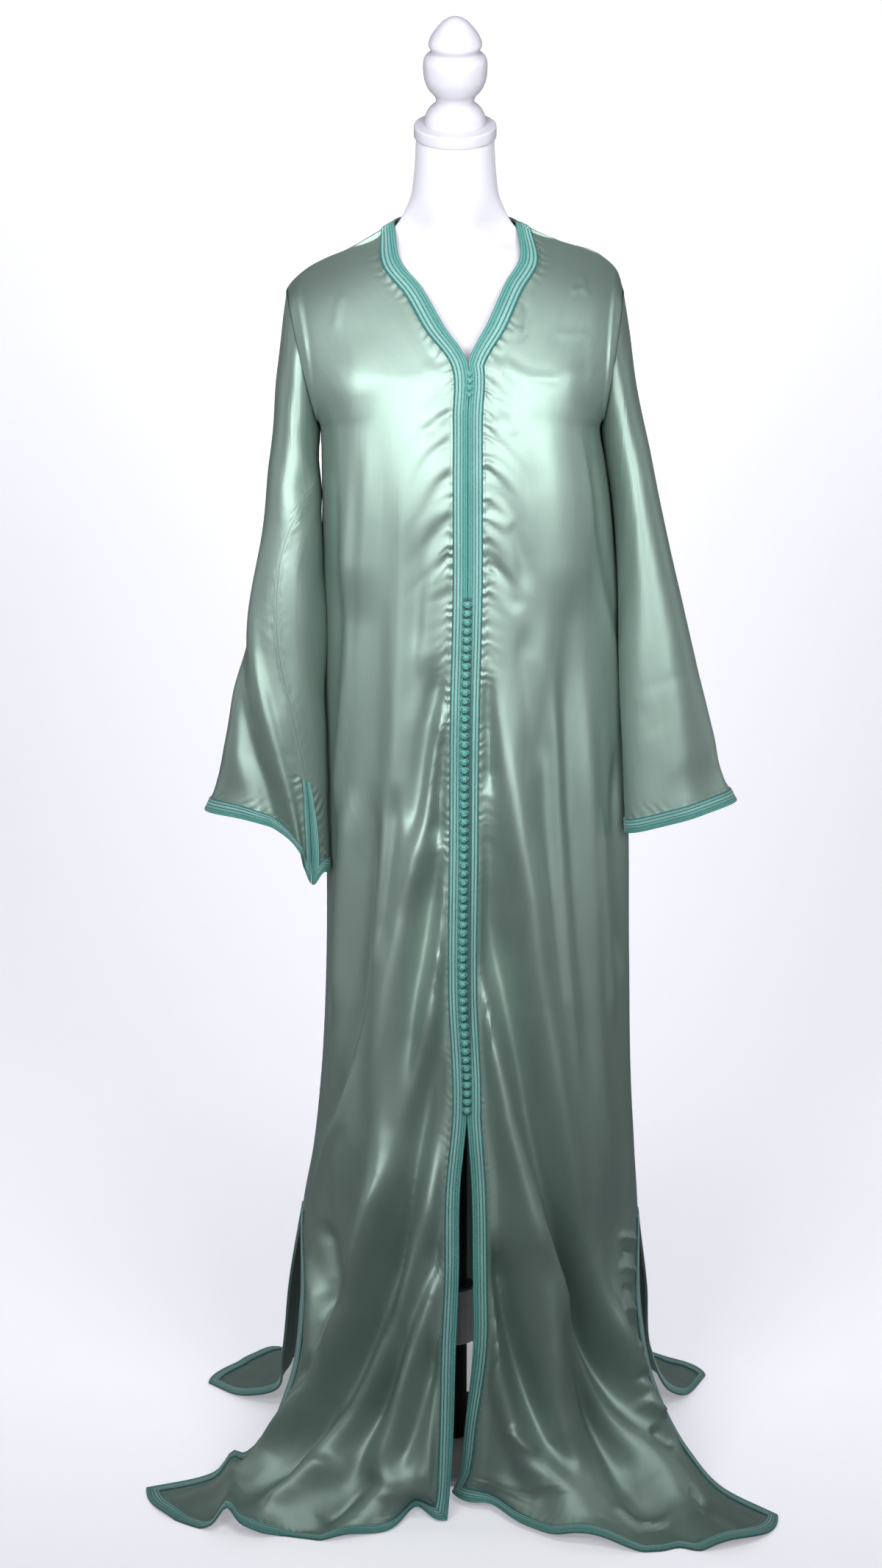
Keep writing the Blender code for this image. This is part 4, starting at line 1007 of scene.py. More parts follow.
def sleeve_grid(side: Side, table: tuple, relief: Relief) -> Grid:
    """Grid of one sleeve, from the armhole to the cuff."""
    bands = [SLEEVE_BANDS.get(row.name, SLEEVE_BAND) for row in table]
    columns = np.array([banded_columns(sleeve_section(row), band, band, SLEEVE_CELLS)
                        for row, band in zip(table, bands)])
    points, starts = skin(columns, [row.name for row in table], row_counts(columns))
    turned = side is Side.RIGHT
    head = points[0].copy()
    points = relief.lay(points, turned, starts["slit"], False)
    points[0] = head
    normals = outward(points, turned)
    normals[:, 0] = normals[:, -1] = unit(normals[:, 0] + normals[:, -1])
    flatten(normals, (0, slice(None)), armhole_plane(side))
    points[0] += armhole_plane(side) * SEAM
    starts["side_slit"] = starts["slit"]
    return Grid(points, normals, starts, turned)


# ---------------------------------------------------------------------- meshes

def placed(name: str, data: ID) -> Object:
    """New object in the scene."""
    thing = bpy.data.objects.new(name, data)
    bpy.context.scene.collection.objects.link(thing)
    return thing


def mesh_of(name: str, vertices: np.ndarray, faces: np.ndarray) -> Object:
    """Smooth shaded object from arrays of vertices and four-sided faces."""
    mesh = bpy.data.meshes.new(name)
    mesh.vertices.add(len(vertices))
    mesh.vertices.foreach_set("co", vertices.astype(np.float32).ravel())
    mesh.loops.add(faces.size)
    mesh.loops.foreach_set("vertex_index", faces.astype(np.int32).ravel())
    mesh.polygons.add(len(faces))
    mesh.polygons.foreach_set("loop_start", np.arange(0, faces.size, 4, dtype=np.int32))
    mesh.update(calc_edges=True)
    mesh.validate()
    mesh.shade_smooth()
    mesh.set_sharp_from_angle(angle=SHARP_ANGLE)
    return placed(name, mesh)


def write_uv(mesh: Mesh, name: str, per_vertex: np.ndarray) -> None:
    """Give a mesh a UV map from two values for each vertex."""
    layer = mesh.uv_layers.new(name=name)
    index = np.empty(len(mesh.loops), dtype=np.int32)
    mesh.loops.foreach_get("vertex_index", index)
    layer.data.foreach_set("uv", per_vertex[index].astype(np.float32).ravel())


def shell(name: str, outer: np.ndarray, inner: np.ndarray, chosen: np.ndarray, turned: bool,
          places: dict) -> Object:
    """Closed thin shell between two grids, over the chosen cells.

    Args:
        name: the piece's name.
        outer: grid of outer points.
        inner: grid of inner points.
        chosen: which cells the shell covers.
        turned: whether the grid's columns run the other way round.
        places: for each UV map, two values for each grid point.

    Returns:
        The shell as an object.
    """
    rows, columns = chosen.shape
    used = np.zeros((rows + 1, columns + 1), dtype=bool)
    for down in (0, 1):
        for across in (0, 1):
            used[down:rows + down, across:columns + across] |= chosen
    index = np.full(used.shape, -1)
    count = int(used.sum())
    index[used] = np.arange(count)
    a, b = index[:-1, :-1], index[:-1, 1:]
    c, d = index[1:, 1:], index[1:, :-1]
    face = np.stack([a, b, c, d], axis=2)[chosen]
    padded = np.pad(chosen, 1)
    parts = [face, face[:, ::-1] + count]
    sides = ((padded[:-2, 1:-1], a, b), (padded[1:-1, 2:], b, c),
             (padded[2:, 1:-1], c, d), (padded[1:-1, :-2], d, a))
    for neighbour, start, end in sides:
        rim = chosen & ~neighbour
        first, second = start[rim], end[rim]
        parts.append(np.stack([first, first + count, second + count, second], axis=1))
    faces = np.concatenate(parts)
    if turned:
        faces = faces[:, ::-1]
    vertices = np.concatenate([outer[used], inner[used]])
    thing = mesh_of(name, vertices, faces)
    for title, values in places.items():
        write_uv(thing.data, title, np.concatenate([values[used], values[used]]))
    return thing


def cloth_places(grid: Grid) -> np.ndarray:
    """Distance across and down the cloth at each grid point, in metres."""
    return np.stack(grid_distances(grid.points), axis=2)


def seam_places(grid: Grid, places: np.ndarray, open_first: bool) -> np.ndarray:
    """Distance from the nearest braid and place along it at each grid point, in metres."""
    across, down = places[:, :, 0], places[:, :, 1]
    closed = (np.arange(len(across)) < grid.starts["side_slit"])[:, None]
    gaps = np.stack([across + (closed & (not open_first)), across[:, -1:] - across + closed,
                     down[-1:] - down])
    run = np.where(gaps.argmin(axis=0) == 2, across, down)
    return np.stack([np.maximum(gaps.min(axis=0) - BRAID_WIDTH, 0), run], axis=2)


def panel(name: str, grid: Grid) -> Object:
    """Wall of cloth over the whole grid."""
    places = cloth_places(grid)
    seams = seam_places(grid, places, name.startswith("front"))
    cells = np.ones((grid.points.shape[0] - 1, grid.points.shape[1] - 1), dtype=bool)
    inner = grid.points - grid.normals * CLOTH
    return shell(name, grid.points, inner, cells, grid.turned, {"cloth": places, "seam": seams})


def edge_steps(grid: Grid) -> dict:
    """Grid cells between each point and each edge that can carry braid."""
    rows, columns = grid.points.shape[:2]
    row, column = np.indices((rows, columns))
    below = row >= grid.starts["side_slit"]
    far = BRAID_CELLS + 1
    return {
        Edge.TOP: row,
        Edge.HEM: rows - 1 - row,
        Edge.FIRST: column,
        Edge.FIRST_SLIT: np.where(below, column, far),
        Edge.LAST_SLIT: np.where(below, columns - 1 - column, far),
    }


def cord_profile(share: np.ndarray) -> np.ndarray:
    """Height of the braid's cords across its width, 0 at its free edge and 1 at its inner."""
    rows = np.abs(np.sin(GROUND_ROWS * math.pi * share / GROUND_SHARE))
    ground = GROUND_HEIGHT + GROUND_RELIEF * rows
    cords = np.sqrt(np.abs(np.sin(math.pi * (share - GROUND_SHARE) / CORD_SHARE)))
    rim = smooth(share / RIM_SHARE) * smooth((1 - share) / RIM_SHARE)
    return np.where(share < GROUND_SHARE, ground, cords) * rim


def braid(name: str, grid: Grid, edges: tuple) -> Object:
    """Corded braid along some edges of a panel, from the panel's own points.

    Args:
        name: the piece's name.
        grid: the panel that it is sewn to.
        edges: the edges that it follows.

    Returns:
        The braid as one object; its UV map is (share across, metres along).
    """
    distances = edge_steps(grid)
    rows, columns = grid.points.shape[:2]
    step = np.minimum.reduce([distances[edge] for edge in edges])
    share = np.clip(step / BRAID_CELLS, 0, 1)
    chosen = np.zeros((rows - 1, columns - 1), dtype=bool)
    for edge in edges:
        near = distances[edge] <= BRAID_CELLS
        chosen |= near[:-1, :-1] & near[1:, :-1] & near[:-1, 1:] & near[1:, 1:]
    places = cloth_places(grid)
    lengthways = np.minimum.reduce(
        [distances[edge] for edge in edges if edge in (Edge.TOP, Edge.HEM)] or [step + 1]) == step
    along = np.where(lengthways, places[:, :, 0], places[:, :, 1])
    height = BRAID_BASE + BRAID_CORD * cord_profile(share)
    base = grid.points + grid.normals * BRAID_LIFT
    face = grid.points + grid.normals * (BRAID_LIFT + height)[:, :, None]
    return shell(name, face, base, chosen, grid.turned,
                 {"cloth": np.stack([share, along], axis=2)})


# --------------------------------------------------------- Geometry Nodes runs

def group_socket(group: NodeTree, name: str, kind: str, way: str = "INPUT") -> str:
    """Add a named input or output to a node group, and return its identifier."""
    return group.interface.new_socket(name=name, in_out=way, socket_type=kind).identifier


def node(tree: NodeTree, kind: str, inputs: dict = None, **settings) -> Node:
    """Add a node to a tree.

    Args:
        tree: the node tree.
        kind: the node's type.
        inputs: values or sockets for its inputs, by name or index.
        settings: the node's own settings.

    Returns:
        The node.
    """
    made = tree.nodes.new(kind)
    for name, value in settings.items():
        setattr(made, name, value)
    for key, value in (inputs or {}).items():
        if isinstance(value, NodeSocket):
            tree.links.new(value, made.inputs[key])
        else:
            made.inputs[key].default_value = value
    return made


@dataclass
class RepeatRun:
    """A small object repeated along a path by Geometry Nodes, then baked to a mesh."""
    name: str
    path: np.ndarray
    item: Object
    finish: Material
    pitch: float = 0.0              # distance between copies, or
    count: int = 0                  # how many there are
    turn: float = 0.0               # greatest random turn of a copy, in radians
    lean: float = 0.0               # greatest random change of a copy's size, as a share
    follow: bool = True             # copies point along the path
    seed: int = 1

    def group(self) -> tuple:
        """Build the node group and return it with its inputs' identifiers by name."""
        tree = bpy.data.node_groups.new(self.name, "GeometryNodeTree")
        names = {"Path": group_socket(tree, "Path", "NodeSocketGeometry")}
        for label, kind in (("Item", "NodeSocketObject"), ("Count", "NodeSocketInt"),
                            ("Pitch", "NodeSocketFloat"), ("Turn", "NodeSocketFloat"),
                            ("Lean", "NodeSocketFloat"), ("Seed", "NodeSocketInt"),
                            ("Finish", "NodeSocketMaterial")):
            names[label] = group_socket(tree, label, kind)
        group_socket(tree, "Geometry", "NodeSocketGeometry", "OUTPUT")
        given = node(tree, "NodeGroupInput").outputs
        curve = node(tree, "GeometryNodeMeshToCurve", {"Mesh": given["Path"]})
        spaced = node(tree, "GeometryNodeResampleCurve",
                      {0: curve.outputs[0], 2: given["Count"], 3: given["Pitch"]},
                      mode="COUNT" if self.count else "LENGTH")
        item = node(tree, "GeometryNodeObjectInfo", {"Object": given["Item"]})
        back = maths(tree, "MULTIPLY", given["Turn"], -1.0)
        spin = node(tree, "FunctionNodeRandomValue",
                    {2: back, 3: given["Turn"], "Seed": given["Seed"]},
                    data_type="FLOAT").outputs[1]
        angles = node(tree, "ShaderNodeCombineXYZ", {0: spin, 1: spin, 2: spin})
        rotation = node(tree, "FunctionNodeEulerToRotation", {0: angles.outputs[0]}).outputs[0]
        if self.follow:
            tangent = node(tree, "GeometryNodeInputTangent").outputs[0]
            rotation = node(tree, "FunctionNodeAlignRotationToVector",
                            {"Rotation": rotation, "Vector": tangent}, axis="X").outputs[0]
        small = maths(tree, "SUBTRACT", 1.0, given["Lean"])
        large = maths(tree, "ADD", 1.0, given["Lean"])
        size = node(tree, "FunctionNodeRandomValue",
                    {2: small, 3: large, "Seed": given["Seed"]}, data_type="FLOAT")
        copies = node(tree, "GeometryNodeInstanceOnPoints",
                      {"Points": spaced.outputs[0], "Instance": item.outputs["Geometry"],
                       "Rotation": rotation, "Scale": size.outputs[1]})
        real = node(tree, "GeometryNodeRealizeInstances", {0: copies.outputs[0]})
        dressed = node(tree, "GeometryNodeSetMaterial",
                       {"Geometry": real.outputs[0], "Material": given["Finish"]})
        node(tree, "NodeGroupOutput", {0: dressed.outputs[0]})
        return tree, names

    def build(self) -> Object:
        """Build the run and bake it to a plain mesh."""
        mesh = bpy.data.meshes.new(self.name)
        edges = [(index, index + 1) for index in range(len(self.path) - 1)]
        mesh.from_pydata([tuple(point) for point in self.path], edges, [])
        thing = placed(self.name, mesh)
        tree, names = self.group()
        repeat = thing.modifiers.new("repeat", "NODES")
        repeat.node_group = tree
        values = {"Item": self.item, "Count": self.count, "Pitch": self.pitch, "Turn": self.turn,
                  "Lean": self.lean, "Seed": self.seed, "Finish": self.finish}
        for label, value in values.items():
            repeat[names[label]] = value
        return bake(thing)


def bake(thing: Object) -> Object:
    """Turn a piece's modifiers into plain mesh."""
    graph = bpy.context.evaluated_depsgraph_get()
    baked = bpy.data.meshes.new_from_object(thing.evaluated_get(graph), depsgraph=graph)
    thing.modifiers.clear()
    thing.data = baked
    return thing


def join(name: str, things: list) -> Object:
    """Join meshes into one new object of the given name."""
    work = bmesh.new()
    for thing in things:
        work.from_mesh(thing.data)
    mesh = bpy.data.meshes.new(name)
    work.to_mesh(mesh)
    work.free()
    for finish in things[0].data.materials:
        mesh.materials.append(finish)
    for thing in things:
        bpy.data.objects.remove(thing)
    return placed(name, mesh)


def ring_mesh(name: str, rings: list, closed_ends: bool = True) -> Object:
    """Object from rings of points, each with the same number, joined in order."""
    sides = len(rings[0])
    vertices = [tuple(point) for ring in rings for point in ring]
    faces = []
    for ring in range(len(rings) - 1):
        for side in range(sides):
            after = (side + 1) % sides
            low, high = ring * sides, (ring + 1) * sides
            faces.append((low + side, low + after, high + after, high + side))
    if closed_ends:
        faces.append(tuple(reversed(range(sides))))
        faces.append(tuple((len(rings) - 1) * sides + side for side in range(sides)))
    mesh = bpy.data.meshes.new(name)
    mesh.from_pydata(vertices, [], faces)
    mesh.shade_smooth()
    mesh.set_sharp_from_angle(angle=SHARP_ANGLE)
    return placed(name, mesh)


def cord_loop(name: str, centre_line: np.ndarray, radius: float, sides: int) -> Object:
    """Closed loop of round cord along a closed line of points."""
    count = len(centre_line)
    ahead = unit(np.roll(centre_line, -1, axis=0) - np.roll(centre_line, 1, axis=0))
    off_axis = np.array([0.13, 0.21, 0.97])     # never along the cord
    first = unit(np.cross(ahead, off_axis))
    second = np.cross(ahead, first)
    cosine, sine = np.cos(circle(sides))[:, None], np.sin(circle(sides))[:, None]
    rings = [centre_line[index] + radius * (cosine * first[index] + sine * second[index])
             for index in (*range(count), 0)]
    return ring_mesh(name, rings, closed_ends=False)


@dataclass(frozen=True)
class Knot:
    """A small ball of knotted cord, with the loop that goes round it."""
    radius: float
    cord: float = 1.35 * MM
    points: int = 18
    sides: int = 6

    def build(self, name: str) -> Object:
        """Wind rings of cord over one another into a ball."""
        parts = []
        turns = circle(self.points)
        ring = np.stack([np.cos(turns), np.sin(turns), np.zeros(self.points)], axis=1)
        ring *= self.radius - self.cord
        for wrap, (tilt, swing) in enumerate(KNOT_TURNS):
            tilt, swing = math.radians(tilt), math.radians(swing)
            lie = np.array([[1, 0, 0], [0, math.cos(tilt), -math.sin(tilt)],
                            [0, math.sin(tilt), math.cos(tilt)]])
            spin = np.array([[math.cos(swing), -math.sin(swing), 0],
                             [math.sin(swing), math.cos(swing), 0], [0, 0, 1]])
            parts.append(cord_loop(f"{name}_{wrap}", ring @ lie.T @ spin.T, self.cord, self.sides))
        return join(name, parts)

    def loop(self, name: str) -> Object:
        """The flat loop of finer cord that buttons over the ball."""
        turns = circle(LOOP_POINTS)
        wide, tall = self.radius + 1.1 * MM, self.radius * 0.7
        line = np.stack([wide * np.cos(turns), np.full(LOOP_POINTS, 0.8 * self.radius),
                         tall * np.sin(turns)], axis=1)
        return cord_loop(name, line, LOOP_CORD, LOOP_SIDES)


# -------------------------------------------------------------------- finishes

def colour(code: str) -> tuple:
    """Linear colour from an sRGB hex code."""
    channels = [int(code[index:index + 2], 16) / 255 for index in (0, 2, 4)]
    linear = [c / 12.92 if c <= 0.04045 else ((c + 0.055) / 1.055) ** 2.4 for c in channels]
    return (*linear, 1.0)


def blend_colours(tree: NodeTree, factor: object, first: object,
                  second: object) -> NodeSocket:
    """Mix two colours, each a hex code or a socket."""
    first, second = (colour(value) if isinstance(value, str) else value
                     for value in (first, second))
    return node(tree, "ShaderNodeMix", {0: factor, 6: first, 7: second},
                data_type="RGBA").outputs[2]


def place_of(tree: NodeTree) -> NodeSocket:
    """Object coordinates of the shaded point."""
    return node(tree, "ShaderNodeTexCoord").outputs["Object"]


def uv_of(tree: NodeTree, name: str) -> NodeSocket:
    """One of the piece's UV maps."""
    return node(tree, "ShaderNodeUVMap", uv_map=name).outputs[0]


def split_of(tree: NodeTree, vector: object) -> NodeOutputs:
    """The three parts of a vector."""
    return node(tree, "ShaderNodeSeparateXYZ", {0: vector}).outputs


def ranged(tree: NodeTree, value: object, low: float, high: float,
           start: float = 0.0, end: float = 1.0) -> NodeSocket:
    """Map a value from start..end to low..high."""
    made = node(tree, "ShaderNodeMapRange", {0: value, 1: start, 2: end, 3: low, 4: high})
    return made.outputs[0]


def shaded(tree: NodeTree, shade: object, into: object, by: object, amount: float,
           start: float = 0.0, end: float = 1.0) -> NodeSocket:
    """Blend a shade into another by up to amount, as a value runs from start to end."""
    return blend_colours(tree, ranged(tree, by, 0.0, amount, start, end), shade, into)


def noise(tree: NodeTree, vector: object, size_mm: float, stretch: tuple = (1, 1, 1),
          detail: float = 2.0) -> NodeSocket:
    """Noise whose features are about size_mm across, stretched by axis."""
    scale = tuple(1000 / (size_mm * part) for part in stretch)
    placed = node(tree, "ShaderNodeMapping", {"Vector": vector, "Scale": scale})
    made = node(tree, "ShaderNodeTexNoise",
                {"Vector": placed.outputs[0], "Scale": 1.0, "Detail": detail})
    return made.outputs[0]


def bumped(tree: NodeTree, height: object, depth_mm: float, strength: float = 1.0,
           normal: object = None) -> NodeSocket:
    """Bump of a given depth in millimetres, over an earlier one if given."""
    inputs = {"Strength": strength, "Distance": depth_mm * MM, "Height": height}
    if normal is not None:
        inputs["Normal"] = normal
    return node(tree, "ShaderNodeBump", inputs).outputs[0]


def maths(tree: NodeTree, operation: str, first: object,
          second: object = 0.0) -> NodeSocket:
    """One step of arithmetic on two numbers or sockets."""
    return node(tree, "ShaderNodeMath", {0: first, 1: second}, operation=operation).outputs[0]


@dataclass(frozen=True)
class Finish:
    """A material; subclasses wire its colour, roughness and relief."""
    name: str
    base: str
    roughness: float = 0.5
    metallic: float = 0.0
    settings: tuple = ()            # further constants of the shader, as (name, value)

    def build(self) -> Material:
        """Make the material."""
        made = bpy.data.materials.new(self.name)
        made.use_nodes = True
        tree = made.node_tree
        shader = tree.nodes["Principled BSDF"]
        shader.inputs["Base Color"].default_value = colour(self.base)
        shader.inputs["Roughness"].default_value = self.roughness
        shader.inputs["Metallic"].default_value = self.metallic
        for key, value in self.settings:
            shader.inputs[key].default_value = value
        self.wire(tree, shader)
        return made

    def wire(self, tree: NodeTree, shader: Node) -> None:
        """Connect the finish's own nodes."""

    def connect(self, tree: NodeTree, shader: Node, **sockets) -> None:
        """Link sockets to the shader's inputs, named with underscores."""
        for key, socket in sockets.items():
            tree.links.new(socket, shader.inputs[key.replace("_", " ").title()])


@dataclass(frozen=True)
class Satin(Finish):
    """Glossy satin weave: long floats across, soft wrinkles, a deeper shade in places."""
    deep: str = "6b8078"

    def wire(self, tree: NodeTree, shader: Node) -> None:
        """Wire weave, wrinkles and shade."""
        cloth = uv_of(tree, "cloth")
        place = place_of(tree)
        floats = noise(tree, cloth, 0.7, (6, 1, 1), 1.0)
        threads = noise(tree, cloth, 1.1, (0.5, 9, 1), 1.0)
        broad = noise(tree, place, 240, (1, 1, 2.2), 2.0)
        streaks = noise(tree, cloth, 22, (1, 14, 1), 3.0)
        crinkle = noise(tree, place, 30, (1, 1, 2.6), 2.5)
        shade = shaded(tree, self.base, self.deep, broad, 0.55, 0.3, 0.75)
        shade = shaded(tree, shade, self.deep, streaks, 0.16, 0.35, 0.8)
        rough = ranged(tree, floats, self.roughness - 0.03, self.roughness + 0.05)
        normal = bumped(tree, self.puckers(tree, place), 0.8, 1.0)
        normal = bumped(tree, crinkle, 0.9, 0.3, normal)
        normal = bumped(tree, streaks, 1.6, 0.5, normal)
        normal = bumped(tree, threads, 0.05, 0.25, normal)
        normal = bumped(tree, floats, 0.04, 0.3, normal)
        tangent = node(tree, "ShaderNodeTangent", direction_type="UV_MAP", uv_map="cloth")
        self.connect(tree, shader, Base_Color=shade, roughness=rough, normal=normal,
                     tangent=tangent.outputs[0])

    @staticmethod
    def puckers(tree: NodeTree, place: NodeSocket) -> NodeSocket:
        """Height of the stitch puckers that die away from every braid."""
        split = split_of(tree, uv_of(tree, "seam"))
        height = split_of(tree, place)[2]
        wander = noise(tree, place, 24, detail=1.0)
        turns = maths(tree, "MULTIPLY", split[1], 2 * math.pi / FINE_PUCKER_PITCH)
        phase = maths(tree, "ADD", turns, maths(tree, "MULTIPLY", wander, FINE_PUCKER_WANDER))
        wave = maths(tree, "SINE", phase)
        near = ranged(tree, split[0], 1.0, 0.0, 0.0, FINE_PUCKER_REACH)
        fade = maths(tree, "POWER", near, FINE_PUCKER_FADE)
        uneven = ranged(tree, noise(tree, place, 38, detail=1.0), 0.1, 1.0, 0.35, 0.65)
        chest = ranged(tree, height, 0.25, 1.0, 0.7, 1.1)
        return maths(tree, "MULTIPLY", maths(tree, "MULTIPLY", wave, fade),
                     maths(tree, "MULTIPLY", uneven, chest))


@dataclass(frozen=True)
class CordBraid(Finish):
    """Silky cord braid: plaited ground inside, two cords outside, grey lines between; painted
    highlight on the crests and painted shade in the valleys.
    """
    # pale is painted highlight on the cords' crests and also random fuzz; fine is painted
    # highlight on the plaited rows' crests; the groove colour is painted shade in the valleys and
    # also random wear
    pale: str = "7fb8b0"
    fine: str = "62a79e"
    groove_shade_and_wear: str = "235856"
    line: str = "8ba6a8"
    shadow: str = "1b4645"

    def wire(self, tree: NodeTree, shader: Node) -> None:
        """Wire the cords' colours by the braid's width, with painted highlight on the crests and
        painted shade in the valleys, and their twist by its length.
        """
        cloth = uv_of(tree, "cloth")
        across, along = split_of(tree, cloth)[:2]
        bands = node(tree, "ShaderNodeValToRGB", {0: across})
        ramp = bands.color_ramp
        # painted shade in each valley between rows and cords, painted highlight on each crest
        stops = ((0.0, self.groove_shade_and_wear), (0.05, self.base), (0.1, self.fine), (0.15, self.groove_shade_and_wear),
                 (0.19, self.base), (0.24, self.fine), (0.29, self.groove_shade_and_wear), (0.34, self.base),
                 (0.4, self.fine), (0.45, self.line), (0.49, self.groove_shade_and_wear), (0.52, self.groove_shade_and_wear),
                 (0.56, self.pale), (0.63, self.pale), (0.68, self.line), (0.71, self.groove_shade_and_wear),
                 (0.75, self.groove_shade_and_wear), (0.79, self.pale), (0.86, self.pale), (0.91, self.groove_shade_and_wear),
                 (1.0, self.groove_shade_and_wear))
        for index, (place, code) in enumerate(stops):
            stop = ramp.elements[index] if index < 2 else ramp.elements.new(place)
            stop.position = place
            stop.color = colour(code)
        place = place_of(tree)
        fuzz = noise(tree, place, 1.6)
        wear = noise(tree, place, 60)
        plait = maths(tree, "PINGPONG", across, PLAIT_SHARE)
        slanted = maths(tree, "ADD", along, maths(tree, "MULTIPLY", plait, PLAIT_SLANT))
        loose = maths(tree, "MULTIPLY", fuzz, TWIST_WANDER)
        turns = maths(tree, "MULTIPLY", slanted, 2 * math.pi / TWIST_PITCH)
        twist = maths(tree, "SINE", maths(tree, "ADD", turns, loose))
        # painted shade in the hollows of the twist
        shade = shaded(tree, bands.outputs[0], self.groove_shade_and_wear, twist, 0.3, 0.2, -1.0)
        shade = shaded(tree, shade, self.pale, fuzz, 0.3, 0.45, 0.8)
        shade = shaded(tree, shade, self.groove_shade_and_wear, wear, 0.25, 0.4, 0.75)
        # painted shade behind the buttons, darkest down the middle of the placket
        shade = blend_colours(tree, self.button_shade(tree, place), shade, self.shadow)
        normal = bumped(tree, twist, 0.3, 0.6)
        normal = bumped(tree, fuzz, 0.3, 0.5, normal)
        self.connect(tree, shader, Base_Color=shade, normal=normal)

    @staticmethod
    def button_shade(tree: NodeTree, place: NodeSocket) -> NodeSocket:
        """Painted shade down the middle of the placket, behind the buttons."""
        split = split_of(tree, place)
        sideways = maths(tree, "ABSOLUTE", maths(tree, "SUBTRACT", split[0], PLACKET_X))
        inside = ranged(tree, sideways, BUTTON_SHADE_DEPTH, 0.0, BUTTON_SHADE,
                        BUTTON_SHADE_EDGE)
        below = ranged(tree, split[2], 1.0, 0.0, BUTTON_TOP, BUTTON_TOP + BUTTON_SHADE_FADE)
        above = ranged(tree, split[2], 0.0, 1.0, BUTTON_BOTTOM - BUTTON_SHADE_FADE, BUTTON_BOTTOM)
        return maths(tree, "MULTIPLY", inside, maths(tree, "MULTIPLY", below, above))


@dataclass(frozen=True)
class KnottedCord(Finish):
    """Silky cord of the buttons, loops and stitches."""
    deep: str = "2c6f66"

    def wire(self, tree: NodeTree, shader: Node) -> None:
        """Wire fine filaments and a little wear."""
        place = place_of(tree)
        strands = noise(tree, place, 0.9)
        wear = noise(tree, place, 40, detail=1.0)
        shade = shaded(tree, self.base, self.deep, strands, 0.6, 0.35, 0.75)
        shade = shaded(tree, shade, self.deep, wear, 0.25)
        self.connect(tree, shader, Base_Color=shade, normal=bumped(tree, strands, 0.25, 0.7))


@dataclass(frozen=True)
class Jersey(Finish):
    """Smooth white jersey stretched over the form."""
    soiled: str = "e4e3ea"

    def wire(self, tree: NodeTree, shader: Node) -> None:
        """Wire the knit and slight soiling."""
        place = place_of(tree)
        ribs = noise(tree, place, 0.8, (1, 1, 3), 1.0)
        cloudy = noise(tree, place, 90)
        shade = shaded(tree, self.base, self.soiled, cloudy, 0.25, 0.4, 0.8)
        self.connect(tree, shader, Base_Color=shade, normal=bumped(tree, ribs, 0.06, 0.5))


@dataclass(frozen=True)
class Paint(Finish):
    """Sprayed paint with faint orange peel, rubbed a little at its edges."""
    worn: str = "d9d8dc"

    def wire(self, tree: NodeTree, shader: Node) -> None:
        """Wire the peel, the rubbed places and their roughness."""
        place = place_of(tree)
        peel = noise(tree, place, 3.5, detail=1.0)
        rubbed = noise(tree, place, 28, detail=3.0)
        shade = shaded(tree, self.base, self.worn, rubbed, 0.4, 0.55, 0.8)
        rough = ranged(tree, rubbed, self.roughness - 0.05, self.roughness + 0.12)
        self.connect(tree, shader, Base_Color=shade, roughness=rough,
                     normal=bumped(tree, peel, 0.03, 0.5))


@dataclass(frozen=True)
class Studio(Finish):
    """Pale seamless studio paper."""

    def wire(self, tree: NodeTree, shader: Node) -> None:
        """Wire a very faint tooth."""
        place = place_of(tree)
        tooth = noise(tree, place, 2.5)
        self.connect(tree, shader, normal=bumped(tree, tooth, 0.05, 0.2))


@dataclass(frozen=True)
class Lamp:
    """A soft studio light, in metres and watts."""
    name: str
    place: tuple
    aim: tuple
    size: tuple
    power: float
    spread: float = 180.0

    def build(self) -> None:
        """Put the light in the scene."""
        light = bpy.data.lights.new(self.name, "AREA")
        light.shape = "RECTANGLE"
        light.size, light.size_y = self.size
        light.energy = self.power
        light.spread = math.radians(self.spread)
        thing = placed(self.name, light)
        thing.location = self.place
        aim = Vector(self.aim) - Vector(self.place)
        thing.rotation_euler = aim.to_track_quat("-Z", "Y").to_euler()


# ------------------------------------------------------------- reliefs and cuts

def creases(*rows: tuple) -> tuple:
    """Creases from rows of width, depth and points."""
    return tuple(Crease(points, width, depth) for width, depth, *points in rows)


